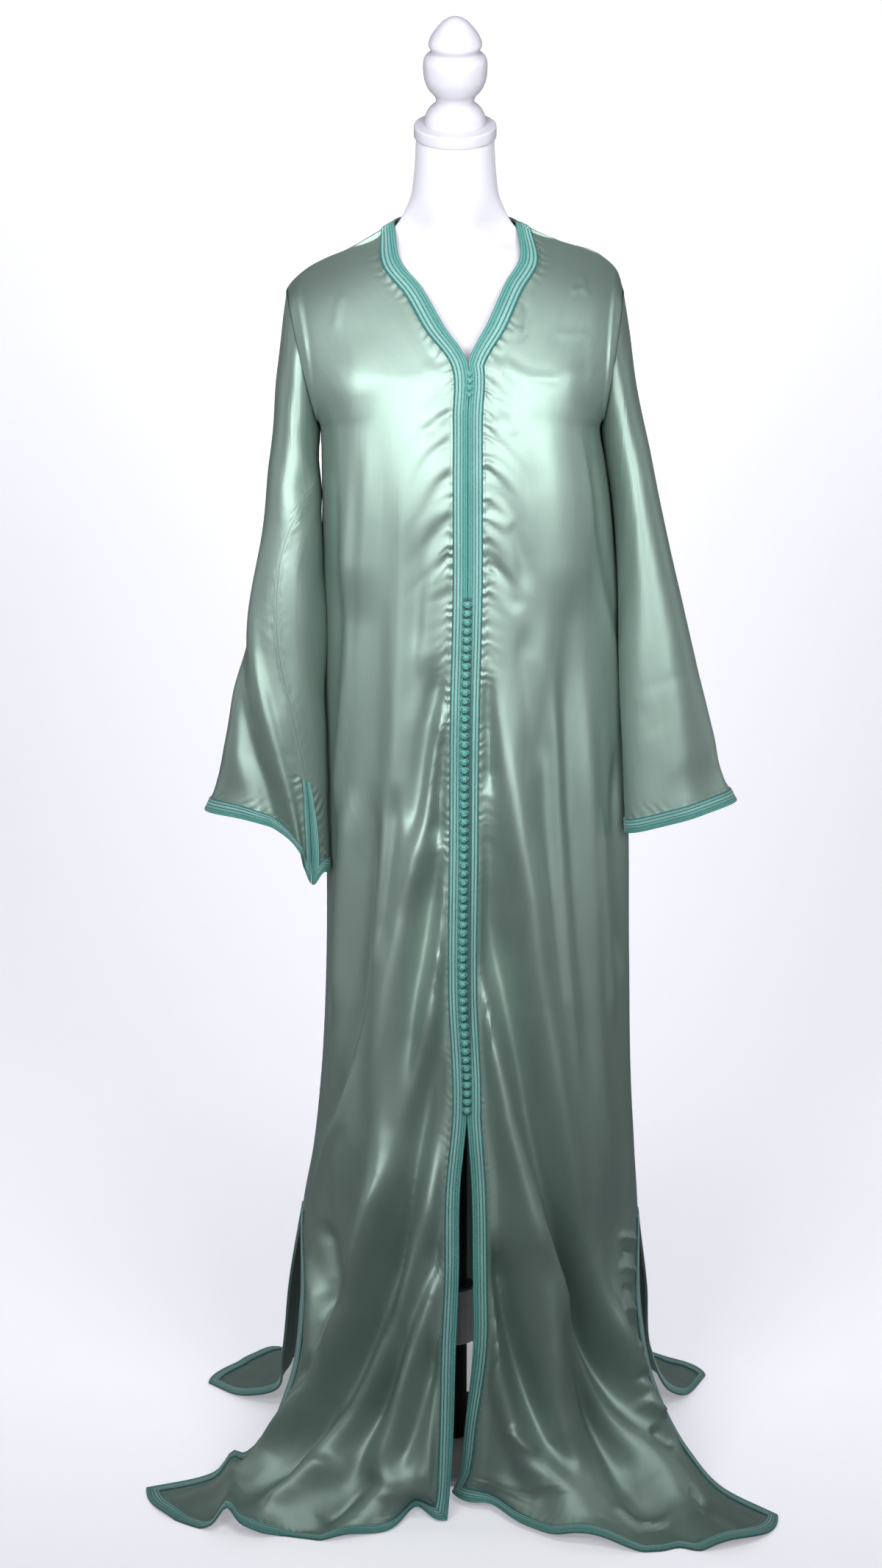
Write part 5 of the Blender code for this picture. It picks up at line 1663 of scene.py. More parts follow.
CREASES_FRONT_RIGHT = creases(
    (34, 8.5, (-106, -105, 1400), (-112, -108, 1330), (-115, -106, 1270), (-116, -106, 1180),
     (-116, -107, 1060)),
    (17.6, 31.6, (-13, -150, 775), (-18, -151, 732), (-26, -154, 653), (-37, -156, 573),
     (-54, -157, 492), (-72, -157, 410), (-93, -145, 323), (-114, -136, 235), (-148, -127, 155),
     (-189, -122, 87), (-247, -126, 31), (-308, -156, 7)),
    (14.8, -23.2, (-23, -148, 836), (-30, -150, 749), (-36, -151, 679), (-45, -153, 599),
     (-54, -154, 527), (-65, -156, 455), (-82, -153, 381)),
    (17.6, -33.8, (-19, -155, 635), (-31, -158, 547), (-42, -161, 484), (-55, -164, 413),
     (-71, -160, 319), (-93, -154, 224), (-130, -152, 124), (-164, -155, 78), (-205, -169, 37),
     (-261, -195, 11)),
    (16.2, 17, (-14, -167, 468), (-29, -174, 380), (-45, -173, 306), (-64, -169, 239),
     (-86, -168, 173), (-112, -171, 109), (-147, -181, 61)),
    (12.2, -19, (-11, -176, 381), (-25, -179, 309), (-40, -178, 262), (-54, -177, 215),
     (-70, -177, 168), (-90, -178, 122), (-116, -196, 64)),
    (14.8, 17, (-11, -180, 336), (-23, -182, 286), (-37, -182, 236), (-51, -184, 180),
     (-64, -189, 127), (-86, -201, 76), (-116, -221, 33)),
    (13.5, -17, (-15, -188, 238), (-26, -191, 193), (-40, -194, 147), (-55, -202, 95),
     (-77, -219, 46)),
    (12.2, 10.6, (-13, -195, 185), (-18, -202, 132), (-29, -213, 72), (-46, -227, 27)),
    (8.8, 9.4, (-78, -134, 885), (-84, -133, 797), (-91, -131, 726), (-97, -129, 663),
     (-105, -125, 599), (-115, -118, 533), (-129, -107, 465), (-148, -84, 402), (-167, -53, 336)),
    (13.5, -12.6, (-89, -129, 883), (-97, -127, 760), (-104, -123, 688), (-112, -118, 606),
     (-124, -108, 539), (-140, -91, 464), (-157, -64, 403)),
    (18.9, 12.6, (-34, -145, 905), (-46, -146, 800), (-53, -146, 739), (-63, -145, 686),
     (-80, -141, 604), (-98, -133, 520), (-120, -120, 433), (-144, -94, 340)),
    (10.8, -6.4, (-66, -139, 886), (-72, -138, 798), (-78, -138, 728), (-86, -135, 665)),
    (14.8, 6.4, (-118, -108, 878), (-124, -102, 771), (-128, -97, 680), (-136, -89, 569)),
    (12.2, -6.4, (-134, -88, 873), (-138, -79, 764), (-145, -63, 670), (-149, -58, 559)),
    (13, -9.4, (-157, -73, 327), (-144, -95, 303), (-137, -109, 262), (-144, -118, 208)),
    (13.5, 10.6, (-172, -58, 278), (-161, -90, 235), (-165, -105, 175), (-180, -108, 119),
     (-212, -105, 69), (-257, -109, 28)),
    (12.2, -10.6, (-152, -119, 171), (-171, -112, 130), (-198, -110, 86), (-239, -105, 40)),
    (12.2, 10.6, (-130, -188, 65), (-156, -194, 44), (-190, -210, 23), (-233, -225, 9)),
    (9.7, -9.4, (-86, -209, 60), (-120, -224, 30), (-163, -239, 13)),
    (12.2, 12.6, (-7, -145, 1003), (-14, -145, 961), (-23, -146, 905), (-32, -147, 844),
     (-41, -147, 783), (-50, -147, 722)),
    (12.2, -10.9, (-13, -144, 1033), (-23, -144, 982), (-33, -145, 922), (-40, -145, 861),
     (-48, -145, 800)),
    (9.5, -14.5, (-9, -146, 952), (-14, -147, 896), (-18, -148, 845), (-23, -149, 801)),
    (8.1, 9, (-8, -150, 793), (-11, -152, 741), (-13, -153, 688), (-19, -155, 644)),
    (9, 4.4, (-117, -105, 1229), (-120, -104, 1102), (-122, -103, 1016), (-128, -97, 928),
     (-134, -88, 855), (-138, -78, 746)),
    (11.2, -2, (-130, -88, 1268), (-131, -92, 1167), (-132, -90, 1056), (-137, -84, 942),
     (-143, -70, 869)),
    (9.8, 1.5, (-93, -116, 1305), (-99, -121, 1189), (-106, -115, 1078), (-117, -108, 982),
     (-126, -99, 893)),
    (16.8, -2.5, (-79, -121, 1306), (-82, -129, 1191), (-87, -126, 1063), (-90, -128, 935),
     (-96, -125, 848)),
    (9.8, -1.5, (-105, -111, 1271), (-109, -114, 1171), (-115, -108, 1085), (-122, -103, 1016)),
    (11.2, 2, (-57, -132, 1258), (-59, -136, 1125), (-62, -136, 1040), (-66, -137, 954),
     (-72, -136, 885), (-77, -136, 833)),
    (12.6, -1.8, (-49, -139, 1192), (-48, -138, 1091), (-49, -140, 1007), (-53, -141, 938)),
    (9.8, -2.2, (-13, -142, 1201), (-24, -142, 1168), (-35, -140, 1130), (-42, -140, 1075),
     (-44, -141, 1024)),
    (11.2, 1.8, (-19, -142, 1159), (-30, -141, 1109), (-35, -141, 1058), (-37, -142, 999)),
    (8.8, 0.9, (-98, -113, 1345), (-65, -119, 1342), (-34, -119, 1345), (-14, -115, 1355)),
    (5.1, -1.1, (-34, -109, 1370), (-23, -111, 1365), (-10, -115, 1356)),
    (5.1, 1.1, (-39, -115, 1357), (-24, -117, 1352), (-10, -118, 1345)),
    (5.6, -0.8, (-44, -131, 1283), (-32, -131, 1288), (-16, -132, 1283)),
    (5.1, 0.6, (-127, -60, 1435), (-133, -74, 1416), (-136, -87, 1392)),
    (5.1, -0.8, (-185, -35, 1428), (-178, -68, 1390), (-167, -80, 1350), (-162, -63, 1306)),
)

CREASES_FRONT_LEFT = creases(
    (34, 7.5, (112, -105, 1400), (120, -111, 1330), (126, -112, 1270), (128, -115, 1180),
     (128, -120, 1060)),
    (17.6, 29.6, (28, -153, 710), (35, -155, 653), (42, -157, 605), (52, -160, 547),
     (64, -163, 485), (79, -164, 413), (95, -160, 347), (113, -152, 279), (137, -148, 207),
     (164, -151, 142), (199, -163, 86), (234, -180, 47)),
    (18.9, -33.8, (37, -148, 862), (39, -150, 784), (42, -152, 723), (50, -153, 662),
     (61, -156, 600), (74, -158, 538), (87, -159, 475), (100, -157, 419), (114, -152, 362),
     (128, -142, 303), (146, -134, 244), (169, -134, 187), (191, -134, 140), (215, -140, 100),
     (244, -150, 61), (292, -173, 20)),
    (16.2, 19, (34, -144, 1025), (47, -145, 973), (58, -145, 922), (66, -145, 870),
     (74, -146, 809), (84, -146, 748), (92, -147, 659), (104, -147, 588), (115, -147, 516),
     (129, -143, 442), (145, -131, 354), (161, -116, 283), (182, -113, 216), (210, -113, 149),
     (241, -123, 87), (272, -129, 47), (307, -151, 15)),
    (9.5, -10.9, (30, -145, 1020), (35, -145, 974), (39, -147, 914), (41, -148, 866)),
    (14.8, -29.6, (37, -174, 357), (51, -175, 307), (62, -176, 242), (74, -177, 187),
     (90, -181, 137), (110, -192, 90), (132, -206, 59), (158, -228, 32)),
    (13.5, 17, (34, -176, 326), (43, -178, 271), (47, -180, 216), (54, -183, 161),
     (68, -189, 108), (85, -201, 66), (110, -229, 27)),
    (16.2, 14.6, (61, -167, 423), (75, -167, 359), (90, -164, 284), (110, -163, 200),
     (134, -168, 136), (150, -185, 87), (169, -210, 47)),
    (12.2, -10.6, (88, -163, 367), (104, -157, 290), (126, -153, 214), (152, -155, 149),
     (177, -167, 98), (203, -189, 56)),
    (8.1, 6.4, (167, -102, 859), (174, -99, 752), (183, -90, 660), (191, -81, 548)),
    (10.8, -7.1, (187, -67, 921), (188, -75, 834), (192, -72, 727), (198, -61, 615)),
    (8.1, 5.5, (115, -129, 1038), (116, -131, 953), (121, -132, 849), (127, -133, 744),
     (136, -131, 628), (148, -129, 510)),
    (13.5, -7.1, (101, -134, 1022), (103, -136, 937), (106, -138, 833), (113, -139, 719),
     (125, -139, 594), (138, -137, 494)),
    (17.6, -10, (128, -121, 1105), (129, -124, 977), (135, -126, 848), (145, -124, 715),
     (158, -119, 579), (171, -111, 439)),
    (16.2, 8.6, (148, -111, 1018), (153, -113, 888), (162, -111, 756), (172, -105, 592),
     (185, -95, 433), (201, -69, 283)),
    (8.4, 2, (128, -111, 1329), (142, -98, 1253), (154, -101, 1169), (164, -91, 1108),
     (179, -73, 1044), (189, -54, 988)),
    (11.2, -3, (142, -97, 1303), (153, -89, 1234), (164, -87, 1167), (178, -70, 1095),
     (187, -54, 1040), (192, -42, 985), (195, -44, 924)),
    (8.4, 1.5, (170, -62, 1298), (179, -9, 1204), (187, -21, 1120), (192, -19, 1050)),
    (16.8, 1.8, (101, -120, 1306), (103, -131, 1208), (107, -130, 1107), (111, -131, 1022)),
    (15.4, -2, (85, -129, 1274), (88, -137, 1175), (91, -136, 1082), (86, -138, 1023)),
    (9.8, -2.5, (38, -139, 1238), (53, -141, 1213), (67, -140, 1180), (77, -139, 1142),
     (80, -138, 1095)),
    (8.4, -2, (35, -143, 1147), (50, -142, 1126), (65, -140, 1098), (77, -139, 1079)),
    (7, 1.5, (35, -142, 1193), (50, -142, 1186), (67, -140, 1178)),
    (12, -3.8, (81, -138, 1074), (79, -140, 1024), (86, -140, 955), (93, -140, 886)),
    (5.1, 1.2, (38, -106, 1375), (50, -99, 1387), (66, -95, 1394), (80, -95, 1393)),
    (5.1, -1.1, (78, -69, 1428), (81, -84, 1409), (78, -97, 1390), (66, -103, 1381)),
    (5.7, -1.2, (34, -111, 1365), (58, -109, 1369), (84, -116, 1352), (117, -112, 1348)),
    (5.7, 1.2, (35, -115, 1355), (58, -115, 1357), (83, -118, 1344), (124, -111, 1340)),
    (6.3, -1.3, (35, -127, 1307), (50, -126, 1313), (66, -127, 1304)),
    (6.3, 1.3, (37, -130, 1295), (53, -130, 1295), (70, -131, 1281)),
    (8.8, 0.9, (66, -117, 1351), (107, -114, 1347), (149, -100, 1346), (168, -87, 1351)),
    (3.7, 0.7, (142, -38, 1452), (148, -48, 1441), (143, -57, 1434)),
    (3.7, 0.8, (129, -59, 1434), (144, -54, 1437), (155, -58, 1429)),
    (5.1, 0.6, (109, -94, 1392), (133, -92, 1388), (154, -84, 1390)),
    (4.3, 5.2, (195, -76, 303), (218, -37, 285)),
    (4.3, -4.6, (199, -73, 283), (220, -39, 266)),
    (4.3, 5.2, (193, -84, 268), (220, -49, 248)),
    (5.4, -4.6, (195, -90, 242), (223, -56, 223)),
    (4.9, 5.8, (191, -103, 223), (223, -69, 205)),
    (4.3, -5.2, (192, -108, 206), (225, -77, 185)),
    (5.4, 5.8, (202, -109, 180), (228, -83, 159)),
    (6.5, -6.1, (205, -120, 145), (235, -99, 119)),
    (6.5, 7.1, (216, -128, 113), (243, -121, 86)),
    (6.5, -7.1, (231, -141, 81), (256, -145, 54)),
    (6.5, 7.1, (62, -188, 112), (80, -193, 91), (104, -197, 78)),
    (7.6, 9.4, (184, -226, 31), (218, -242, 18), (257, -241, 12)),
    (6.5, -8.3, (273, -191, 23), (294, -207, 12), (296, -240, 7)),
)

CREASES_SLEEVE_LEFT = creases(
    (7, -0.4, (202, -94, 974), (228, -107, 989), (258, -102, 999), (281, -73, 1001)),
    (12.3, 0.6, (206, -81, 1233), (210, -94, 1151), (209, -100, 1058), (206, -97, 980)),
    (12.3, -0.7, (202, -64, 1298), (203, -86, 1200), (201, -91, 1099), (199, -92, 1013)),
    (24.5, 0.7, (204, -8, 1356), (225, -43, 1243), (240, -90, 1116), (258, -100, 1015)),
    (12.3, -0.7, (193, -38, 1403), (194, -64, 1331), (200, -77, 1249)),
    (21, -0.7, (222, -40, 1257), (243, -58, 1159), (269, -62, 1050), (288, -84, 960)),
    (7, -0.3, (203, -94, 962), (212, -101, 955), (225, -106, 952)),
    (8.7, 0.7, (296, -93, 885), (305, -80, 894), (314, -68, 869)),
    (17.5, 0.6, (221, -104, 938), (242, -108, 904), (264, -106, 882)),
)

CREASES_SLEEVE_RIGHT = creases(
    (14, -1, (-163, -55, 1297), (-165, -60, 1247), (-170, -81, 1191), (-182, -96, 1168)),
    (10.5, -0.7, (-165, -64, 1231), (-178, -84, 1213), (-197, -92, 1193)),
    (10.5, 0.7, (-169, -74, 1208), (-183, -92, 1197), (-204, -90, 1174)),
    (8.7, -0.6, (-173, -88, 1180), (-188, -98, 1156), (-207, -97, 1122)),
    (14, 0.6, (-176, -75, 1266), (-187, -83, 1234), (-202, -89, 1192)),
    (14, -0.6, (-200, -68, 1265), (-207, -78, 1216), (-216, -79, 1157)),
    (24.5, 0.7, (-207, -90, 1159), (-227, -85, 1089), (-245, -75, 1010)),
    (21, -0.7, (-218, -98, 1049), (-232, -96, 988), (-245, -95, 927)),
    (12.3, -0.7, (-198, -104, 1033), (-203, -104, 990), (-209, -105, 947)),
    (10.5, 0.7, (-192, -104, 981), (-195, -104, 943), (-198, -104, 903)),
    (14, 0.6, (-266, -68, 921), (-254, -93, 892), (-242, -99, 863)),
)


FINE_FOLDS_BACK = (
    Fold(1320, 0.16, 300, 0.12, 9, 4),
    Fold(1300, 0.21, 60, 0.20, 12, -7),
    Fold(1240, 0.29, 60, 0.24, 13, 11),
    Fold(1330, 0.33, 500, 0.34, 9, -4),
    Fold(1200, 0.40, 60, 0.41, 13, -12),
    Fold(1340, 0.44, 60, 0.45, 12, 9),
    Fold(1180, 0.52, 60, 0.54, 12, -9),
    Fold(1330, 0.56, 400, 0.55, 8, 4),
    Fold(1150, 0.60, 60, 0.60, 11, 10),
    Fold(1250, 0.66, 60, 0.70, 13, -11),
    Fold(1330, 0.70, 300, 0.73, 10, 5),
    Fold(1120, 0.78, 60, 0.84, 12, 8),
    Fold(1280, 0.84, 200, 0.90, 10, -5),
)


class Cut(NamedTuple):
    """The cut of a panel before it was gathered and hung, in metres."""
    width: float
    length: float
    area: float
    held: Held


class BraidRun(NamedTuple):
    """A run of braid: its solid, its panel and the edges that it follows."""
    node: str
    panel: str
    edges: tuple


OPEN_FRONT = (Edge.FIRST, Edge.HEM, Edge.LAST_SLIT)
TWO_SLITS = (Edge.HEM, Edge.FIRST_SLIT, Edge.LAST_SLIT)
BRAIDS = (
    BraidRun("braid_front_right", "front_right", OPEN_FRONT),
    BraidRun("braid_front_left", "front_left", OPEN_FRONT),
    BraidRun("braid_back_neck", "back", (Edge.TOP,)),
    BraidRun("braid_back_hem", "back", TWO_SLITS),
    BraidRun("braid_cuff_right", "sleeve_right", TWO_SLITS),
    BraidRun("braid_cuff_left", "sleeve_left", TWO_SLITS),
)

RELIEF = {
    "front_right": Relief(FOLDS_FRONT_RIGHT, GATHERS_RIGHT, CREASES_FRONT_RIGHT,
                          pucker_last=0.5, pucker_hem=0.6, crumple=1.8, drape=0.6, seed=3),
    "front_left": Relief(FOLDS_FRONT_LEFT, GATHERS_LEFT, CREASES_FRONT_LEFT,
                         pucker_last=0.5, pucker_hem=0.6, crumple=1.8, drape=0.6, seed=7),
    "back": Relief(FOLDS_BACK + FINE_FOLDS_BACK, (), (), pucker_first=0.5, pucker_last=0.5,
                   pucker_hem=0.6, crumple=2, drape=1.0, seed=13),
    "sleeve_right": Relief(FOLDS_SLEEVE_RIGHT, (), CREASES_SLEEVE_RIGHT, pucker_first=0.7,
                           pucker_last=0.7, pucker_hem=0.6, drape=0.5, seed=17),
    "sleeve_left": Relief(FOLDS_SLEEVE_LEFT, (), CREASES_SLEEVE_LEFT, pucker_first=0.6,
                          pucker_last=0.6, pucker_hem=0.6, drape=0.5, seed=19),
}

SATIN = Satin("sage_green_satin", "95aaa2", 0.52, 0.7, (("Anisotropic", 0.35),))
BRAID = CordBraid("teal_cord_braid", "418880", 0.5, 0.0,
                  (("Sheen Weight", 0.25), ("Sheen Roughness", 0.35)))
CORD = KnottedCord("teal_knotted_cord", "6cafab", 0.45, 0.0,
                   (("Sheen Weight", 0.25), ("Sheen Roughness", 0.35)))
THREAD = KnottedCord("teal_thread", "5a9a8f", 0.5)
JERSEY = Jersey("white_jersey_cover", "cccbd5", 0.7, 0.0, (("Sheen Weight", 0.2),))
PAINT = Paint("white_satin_paint", "cccbd5", 0.34, 0.0,
              (("Coat Weight", 0.25), ("Coat Roughness", 0.2)))
GREY = Paint("grey_powder_coat", "a3a3a6", 0.5, 0.0, (), "8b8b8e")
STEEL = Paint("black_enamelled_steel", "1a1c1e", 0.4, 0.6, (), "3a3c3f")
PAPER = Studio("white_seamless_paper", "f2f2f8", 0.85, 0.0,
               (("Emission Color", colour("f4f4fb")), ("Emission Strength", 0.335)))

CAMERA_PLACE = (-0.016, -4.0, 1.85)
CAMERA_DIP = 14.1           # degrees below the horizontal
CAMERA_LENS = 79.78
CAMERA_SENSOR = 36
WORLD_COLOUR = "eef0f6"
WORLD_STRENGTH = 0.1

LAMPS = (
    Lamp("key_left", (-0.9, -2.3, 1.85), (0, 0, 1.45), (1.1, 0.9), 10.5, 75),
    Lamp("key_right", (0.9, -2.3, 1.85), (0, 0, 1.45), (1.1, 0.9), 9, 75),
    Lamp("top", (0.0, -1.3, 3.0), (0, 0, 1.0), (1.6, 1.0), 20),
    Lamp("edge_right", (-2.2, 0.5, 1.5), (0, 0, 1.0), (0.5, 2.0), 6),
    Lamp("edge_left", (2.2, 0.5, 1.5), (0, 0, 1.0), (0.5, 2.0), 6),
    Lamp("paper_wash", (0.0, 0.9, 3.3), (0, 2.4, 1.2), (3.6, 0.8), 4, 110),
)


# ------------------------------------------------------------------ assemblies

@dataclass
class Kaftan:
    """The kaftan: five satin panels, six runs of braid, buttons and stitches."""
    satin: Material
    braid: Material
    cord: Material
    thread: Material

    def _grids(self) -> dict:
        """Grids of the five panels, by name."""
        right = front_grid(Side.RIGHT, FRONT_RIGHT, RELIEF["front_right"])
        left = front_grid(Side.LEFT, FRONT_LEFT, RELIEF["front_left"], right)
        part_placket(right, left)
        return {
            "front_right": right,
            "front_left": left,
            "back": back_grid(BACK, RELIEF["back"]),
            "sleeve_right": sleeve_grid(Side.RIGHT, SLEEVE_RIGHT, RELIEF["sleeve_right"]),
            "sleeve_left": sleeve_grid(Side.LEFT, SLEEVE_LEFT, RELIEF["sleeve_left"]),
        }

    def build(self) -> None:
        grids = self._grids()
        stitch = self._stitch()
        for name, grid in grids.items():
            cloth = panel(f"{name}_satin", grid)
            cloth.data.materials.append(self.satin)
            declare(cloth, "satin", name)
            trims = [self._braid(run, grid) for run in BRAIDS if run.panel == name]
            trims.append(self._stitches(name, grid, stitch))
        bpy.data.objects.remove(stitch)
        self._buttons(grids["front_right"])

    def _braid(self, run: BraidRun, grid: Grid) -> Object:
        """One run of braid, dressed and declared."""
        trim = braid(f"{run.node}_trim", grid, run.edges)
        trim.data.materials.append(self.braid)
        declare(trim, "braid", run.node)
        return trim

    def _stitch(self) -> Object:
        """One stitch: a short rounded bar of thread."""
        turns = circle(STITCH_SIDES)
        rings = [np.stack([np.full(STITCH_SIDES, x), size * np.cos(turns),
                           size * np.sin(turns)], axis=1) * MM for x, size in STITCH_RINGS]
        return ring_mesh("stitch", rings)

    def _stitches(self, name: str, grid: Grid, stitch: Object) -> Object:
        """Running stitches in the satin, just outside each run of braid."""
        offset = BRAID_CELLS + 1
        rows, columns = grid.points.shape[:2]
        raised = grid.points + grid.normals * 0.2 * MM
        runs = []
        for run in BRAIDS:
            if run.panel != name:
                continue
            slit = min(grid.starts["side_slit"] + offset, rows - 1)
            low, far = rows - 1 - offset, columns - 1 - offset
            start = offset if {Edge.FIRST, Edge.FIRST_SLIT} & set(run.edges) else 0
            lines = {
                Edge.TOP: raised[offset, :],
                Edge.HEM: raised[low, start:far + 1],
                Edge.FIRST: raised[:low + 1, offset],
                Edge.FIRST_SLIT: raised[slit:low + 1, offset],
                Edge.LAST_SLIT: raised[slit:low + 1, far],
            }
            runs += [lines[edge] for edge in run.edges]
        made = [RepeatRun(f"{name}_stitches_{index}", line, stitch, self.thread,
                          pitch=STITCH_PITCH, turn=0.16, lean=0.12, seed=index + 3).build()
                for index, line in enumerate(runs)]
        stitches = join(f"{name}_stitches", made)
        declare(stitches, "braid")
        return stitches

    def _buttons(self, grid: Grid) -> None:
        """Both rows of knotted buttons with their loops."""
        rise = BRAID_LIFT + BRAID_BASE + BRAID_CORD * 0.8
        rows = (("buttons_front", BUTTON_TOP, BUTTON_BOTTOM, BUTTON_COUNT, BUTTON_RADIUS),
                ("buttons_neck", NECK_BUTTON_TOP, NECK_BUTTON_BOTTOM, NECK_BUTTON_COUNT,
                 NECK_BUTTON_RADIUS))
        for name, top, bottom, count, radius in rows:
            half = (top - bottom) / count / 2
            path = placket_path(grid, top - half, bottom + half, rise + radius)
            knot = Knot(radius)
            ball, loop = knot.build(f"{name}_ball"), knot.loop(f"{name}_loop")
            balls = RepeatRun(f"{name}_balls", path, ball, self.cord, count=count, turn=0.5,
                              lean=0.06, follow=False, seed=5).build()
            loops = RepeatRun(f"{name}_loops", path, loop, self.cord, count=count, turn=0.04,
                              lean=0.04, follow=False, seed=8).build()
            for spare in (ball, loop):
                bpy.data.objects.remove(spare)
            declare(join(f"{name}_knots", [balls, loops]), "buttons", name)


def placket_path(grid: Grid, top: float, bottom: float, stand_off: float) -> np.ndarray:
    """Line down the middle of the placket, in front of the braid."""
    edge = grid.points[:, 0]
    levels = np.linspace(top, bottom, PATH_SAMPLES)
    order = np.argsort(edge[:, 2])
    y = np.interp(levels, edge[order, 2], edge[order, 1])
    x = np.interp(levels, edge[order, 2], edge[order, 0]) + SEAM
    return np.stack([x, y - stand_off, levels], axis=1)


@dataclass
class DressForm:
    """The limbless form, its turned top and its stand."""
    jersey: Material
    paint: Material
    grey: Material
    steel: Material

    def build(self) -> None:
        """Build the form's pieces; the stand keeps its solids with better finishes."""
        for thing, finish, slot, solid in (
                (self._torso(), self.jersey, "form_cover", "torso"),
                (self._cap(), self.paint, "white_paint", "neck_cap"),
                (self._finial(), self.paint, "white_paint", "finial")):
            thing.data.materials.append(finish)
            declare(thing, slot, solid)
        for name, finish in (("pole", self.steel), ("stem", self.steel),
                             ("collar", self.grey), ("base", self.grey)):
            solid = bpy.data.objects[name]
            for slot in solid.material_slots:
                slot.material = finish

    @staticmethod
    def _torso() -> Object:
        """Smooth body of the form through its levels."""
        cosine, sine = np.cos(circle(FORM_SIDES)), np.sin(circle(FORM_SIDES))
        levels = []
        for row in form_levels():
            fullness = ((1 - row.pinch) * np.abs(sine)
                        + row.pinch * (1 + np.cos(math.pi * cosine)) / 2)
            depth = fullness * np.where(sine > 0, row.back, row.front)
            levels.append(np.stack([row.half_width * cosine, depth,
                                    np.full(FORM_SIDES, row.z)], axis=1) * MM)
        levels = np.array(levels)
        heights = levels[:, 0, 2]
        knots = np.concatenate([[0], np.cumsum(np.maximum(np.diff(heights), 6 * MM))])
        spans = [np.linspace(low, high, 6) for low, high in zip(knots, knots[1:])]
        places = np.unique(np.concatenate(spans))
        rings = curve_through(knots, levels, places)
        covered = smooth((COVERED_BELOW - rings[:, :, 2:]) / COVERED_FADE)
        rings[:, :, :2] *= 1 - COVERED_EASE * covered
        rings[-1, :, 2] += rings[-1, :, 1] * math.tan(CAP_TILT)
        return ring_mesh("form_torso", list(rings))

    @staticmethod
    def _cap() -> Object:
        """Flat neck cap with rounded edges."""
        soft = 2.4 * MM
        flat = CAP_RADIUS - soft
        profile = [(flat, 0)]
        profile += [(flat + soft * math.cos(turn), soft + soft * math.sin(turn))
                    for turn in np.linspace(-math.pi / 2, 0, 5)[1:]]
        profile += [(flat + soft * math.cos(turn), CAP_HEIGHT - soft + soft * math.sin(turn))
                    for turn in np.linspace(0, math.pi / 2, 5)]
        lift = NECK_TOP + FORM_GAP / math.cos(CAP_TILT)
        rings = [tilted_ring(radius, height, lift) for radius, height in profile]
        return ring_mesh("form_neck_cap", rings)

    @staticmethod
    def _finial() -> Object:
        """Turned finial with full round beads."""
        profile = np.array([(radius, 0, height) for radius, height in FINIAL[::-1]]) * MM
        knots = lengths_along(profile[1:-1])
        places = np.linspace(0, knots[-1], FINIAL_SAMPLES)
        line = curve_through(knots, profile[1:-1, None, :], places)[:, 0]
        lift = NECK_TOP + (2 * FORM_GAP + CAP_HEIGHT) / math.cos(CAP_TILT)
        rings = [tilted_ring(radius, height, lift) for radius, _, height in line]
        top = FINIAL[0][1] * MM
        for share in (0.6, 0.3, 0.05):
            height = top - (top - line[-1, 2]) * share ** 2
            rings.append(tilted_ring(line[-1, 0] * share, height, lift))
        return ring_mesh("form_finial", rings)


def tilted_ring(radius: float, height: float, lift: float) -> np.ndarray:
    """Ring about the leaning axis of the neck, which starts at lift above the floor."""
    turns = circle(FORM_SIDES)
    along = radius * np.sin(turns)
    return np.stack([radius * np.cos(turns),
                     along * math.cos(CAP_TILT) - height * math.sin(CAP_TILT),
                     along * math.sin(CAP_TILT) + height * math.cos(CAP_TILT) + lift], axis=1)


def form_levels() -> list:
    """All levels of the form, with shoulders just under the cloth."""
    below = (CLOTH + FORM_GAP) / MM
    rows = list(FORM)
    for level in FORM_SHOULDERS:
        x, z = SHOULDERS["right"][level.step]
        rows.append(FormRow(z - below - level.drop - FORM_SHOULDER_DROP,
                            x - FORM_SHOULDER_INSET, level.front, level.back, level.pinch))
    return rows + list(FORM_TOP)


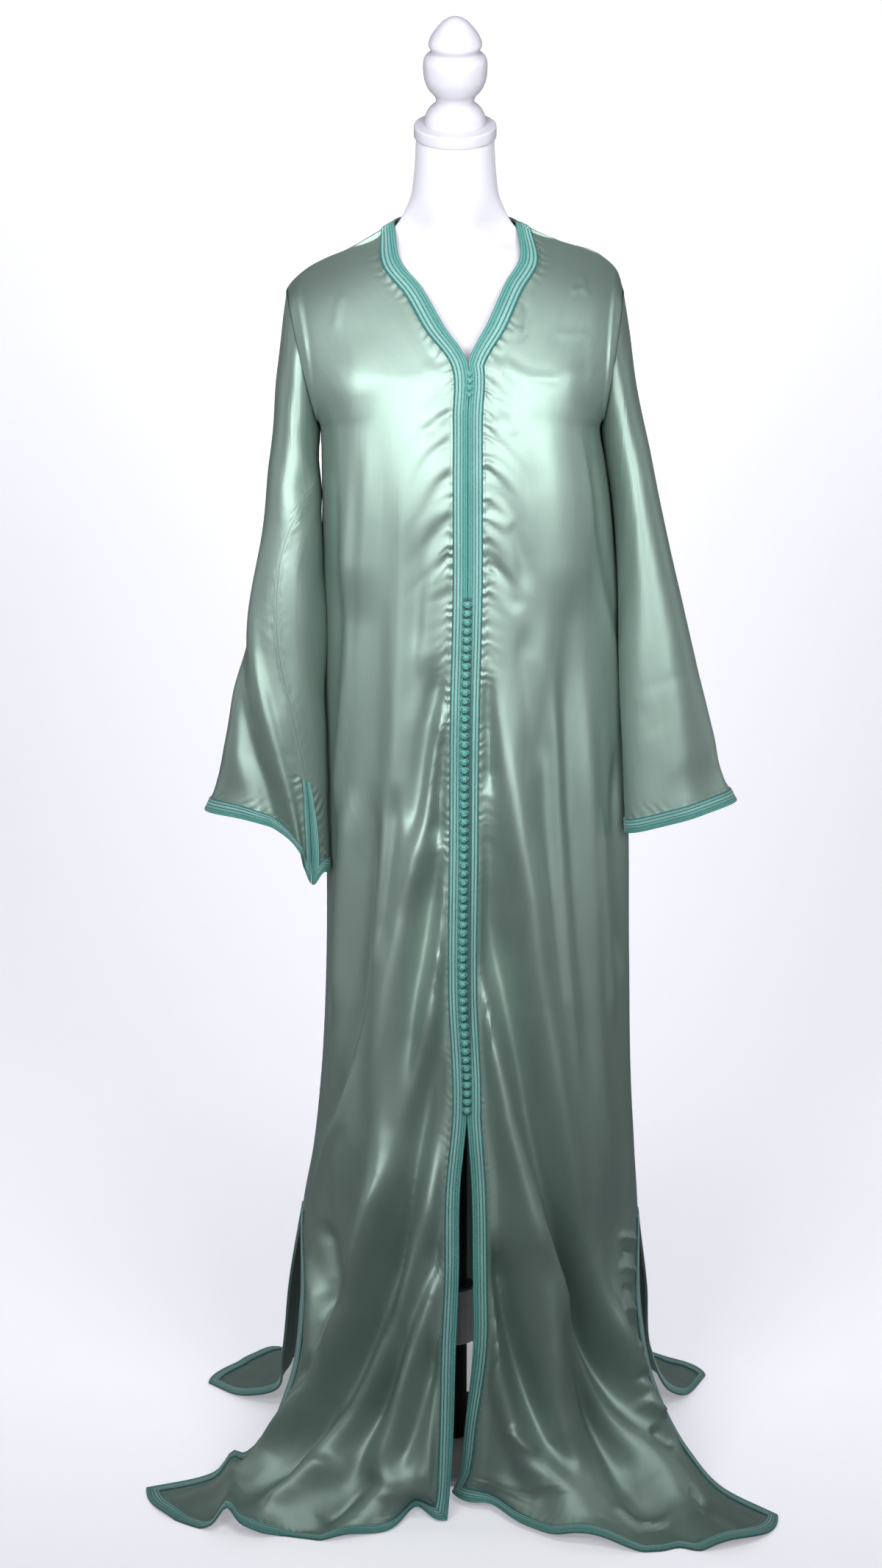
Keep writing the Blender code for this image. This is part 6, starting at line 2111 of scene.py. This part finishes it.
@dataclass
class StudioRoom:
    """White seamless paper, soft lights and the camera."""
    paper: Material

    def build(self) -> None:
        """Build the room."""
        self._paper()
        for lamp in LAMPS:
            lamp.build()
        self._world()
        self._camera()

    def _paper(self) -> None:
        """Floor and wall in one sweep."""
        bend = [(PAPER_BEND + PAPER_RADIUS * math.sin(turn),
                 PAPER_RADIUS - PAPER_RADIUS * math.cos(turn))
                for turn in np.linspace(0, math.pi / 2, 14)[1:]]
        line = np.array([(PAPER_FRONT, 0.0), (PAPER_BEND, 0.0), *bend,
                         (PAPER_BEND + PAPER_RADIUS, PAPER_TOP)])
        vertices = np.concatenate([np.column_stack([np.full(len(line), x), line])
                                   for x in (-PAPER_HALF, PAPER_HALF)])
        count = len(line)
        faces = np.array([(i, i + count, i + count + 1, i + 1) for i in range(count - 1)])
        sweep = mesh_of("studio_paper", vertices, faces)
        sweep.data.materials.append(self.paper)
        sweep.visible_glossy = False
        sweep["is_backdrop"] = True

    @staticmethod
    def _world() -> None:
        """Even pale surround."""
        world = bpy.data.worlds.new("studio")
        bpy.context.scene.world = world
        world.use_nodes = True
        background = world.node_tree.nodes["Background"]
        background.inputs["Color"].default_value = colour(WORLD_COLOUR)
        background.inputs["Strength"].default_value = WORLD_STRENGTH

    @staticmethod
    def _camera() -> None:
        """Camera in front of the form, looking a little down."""
        lens = bpy.data.cameras.new("camera")
        lens.lens = CAMERA_LENS
        lens.sensor_width = CAMERA_SENSOR
        thing = placed("camera", lens)
        thing.location = CAMERA_PLACE
        thing.rotation_euler = (math.radians(90 - CAMERA_DIP), 0, 0)
        bpy.context.scene.camera = thing


def declare(piece: Object, slot: str, *nodes: str) -> None:
    """Attach a piece to the root body and hide the solids that it stands for."""
    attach(piece, "root")
    if nodes:
        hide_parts(*nodes)


def set_view() -> None:
    """Plain colour management, so that whites stay white."""
    settings = bpy.context.scene.view_settings
    settings.view_transform = "Standard"
    settings.look = "None"


def main() -> None:
    """Build the whole scene."""
    logging.basicConfig(level=logging.INFO, format="%(name)s: %(message)s")
    cad_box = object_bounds()
    StudioRoom(PAPER.build()).build()
    Kaftan(SATIN.build(), BRAID.build(), CORD.build(), THREAD.build()).build()
    DressForm(JERSEY.build(), PAINT.build(), GREY.build(), STEEL.build()).build()
    set_view()
    boxes = {"cad": cad_box, "visual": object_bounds()}
    plain = {name: [list(map(float, corner)) for corner in box] for name, box in boxes.items()}
    for name, box in plain.items():
        logger.info("%s box %s", name, [[round(value, 4) for value in corner] for corner in box])


if __name__ == "__main__":
    main()
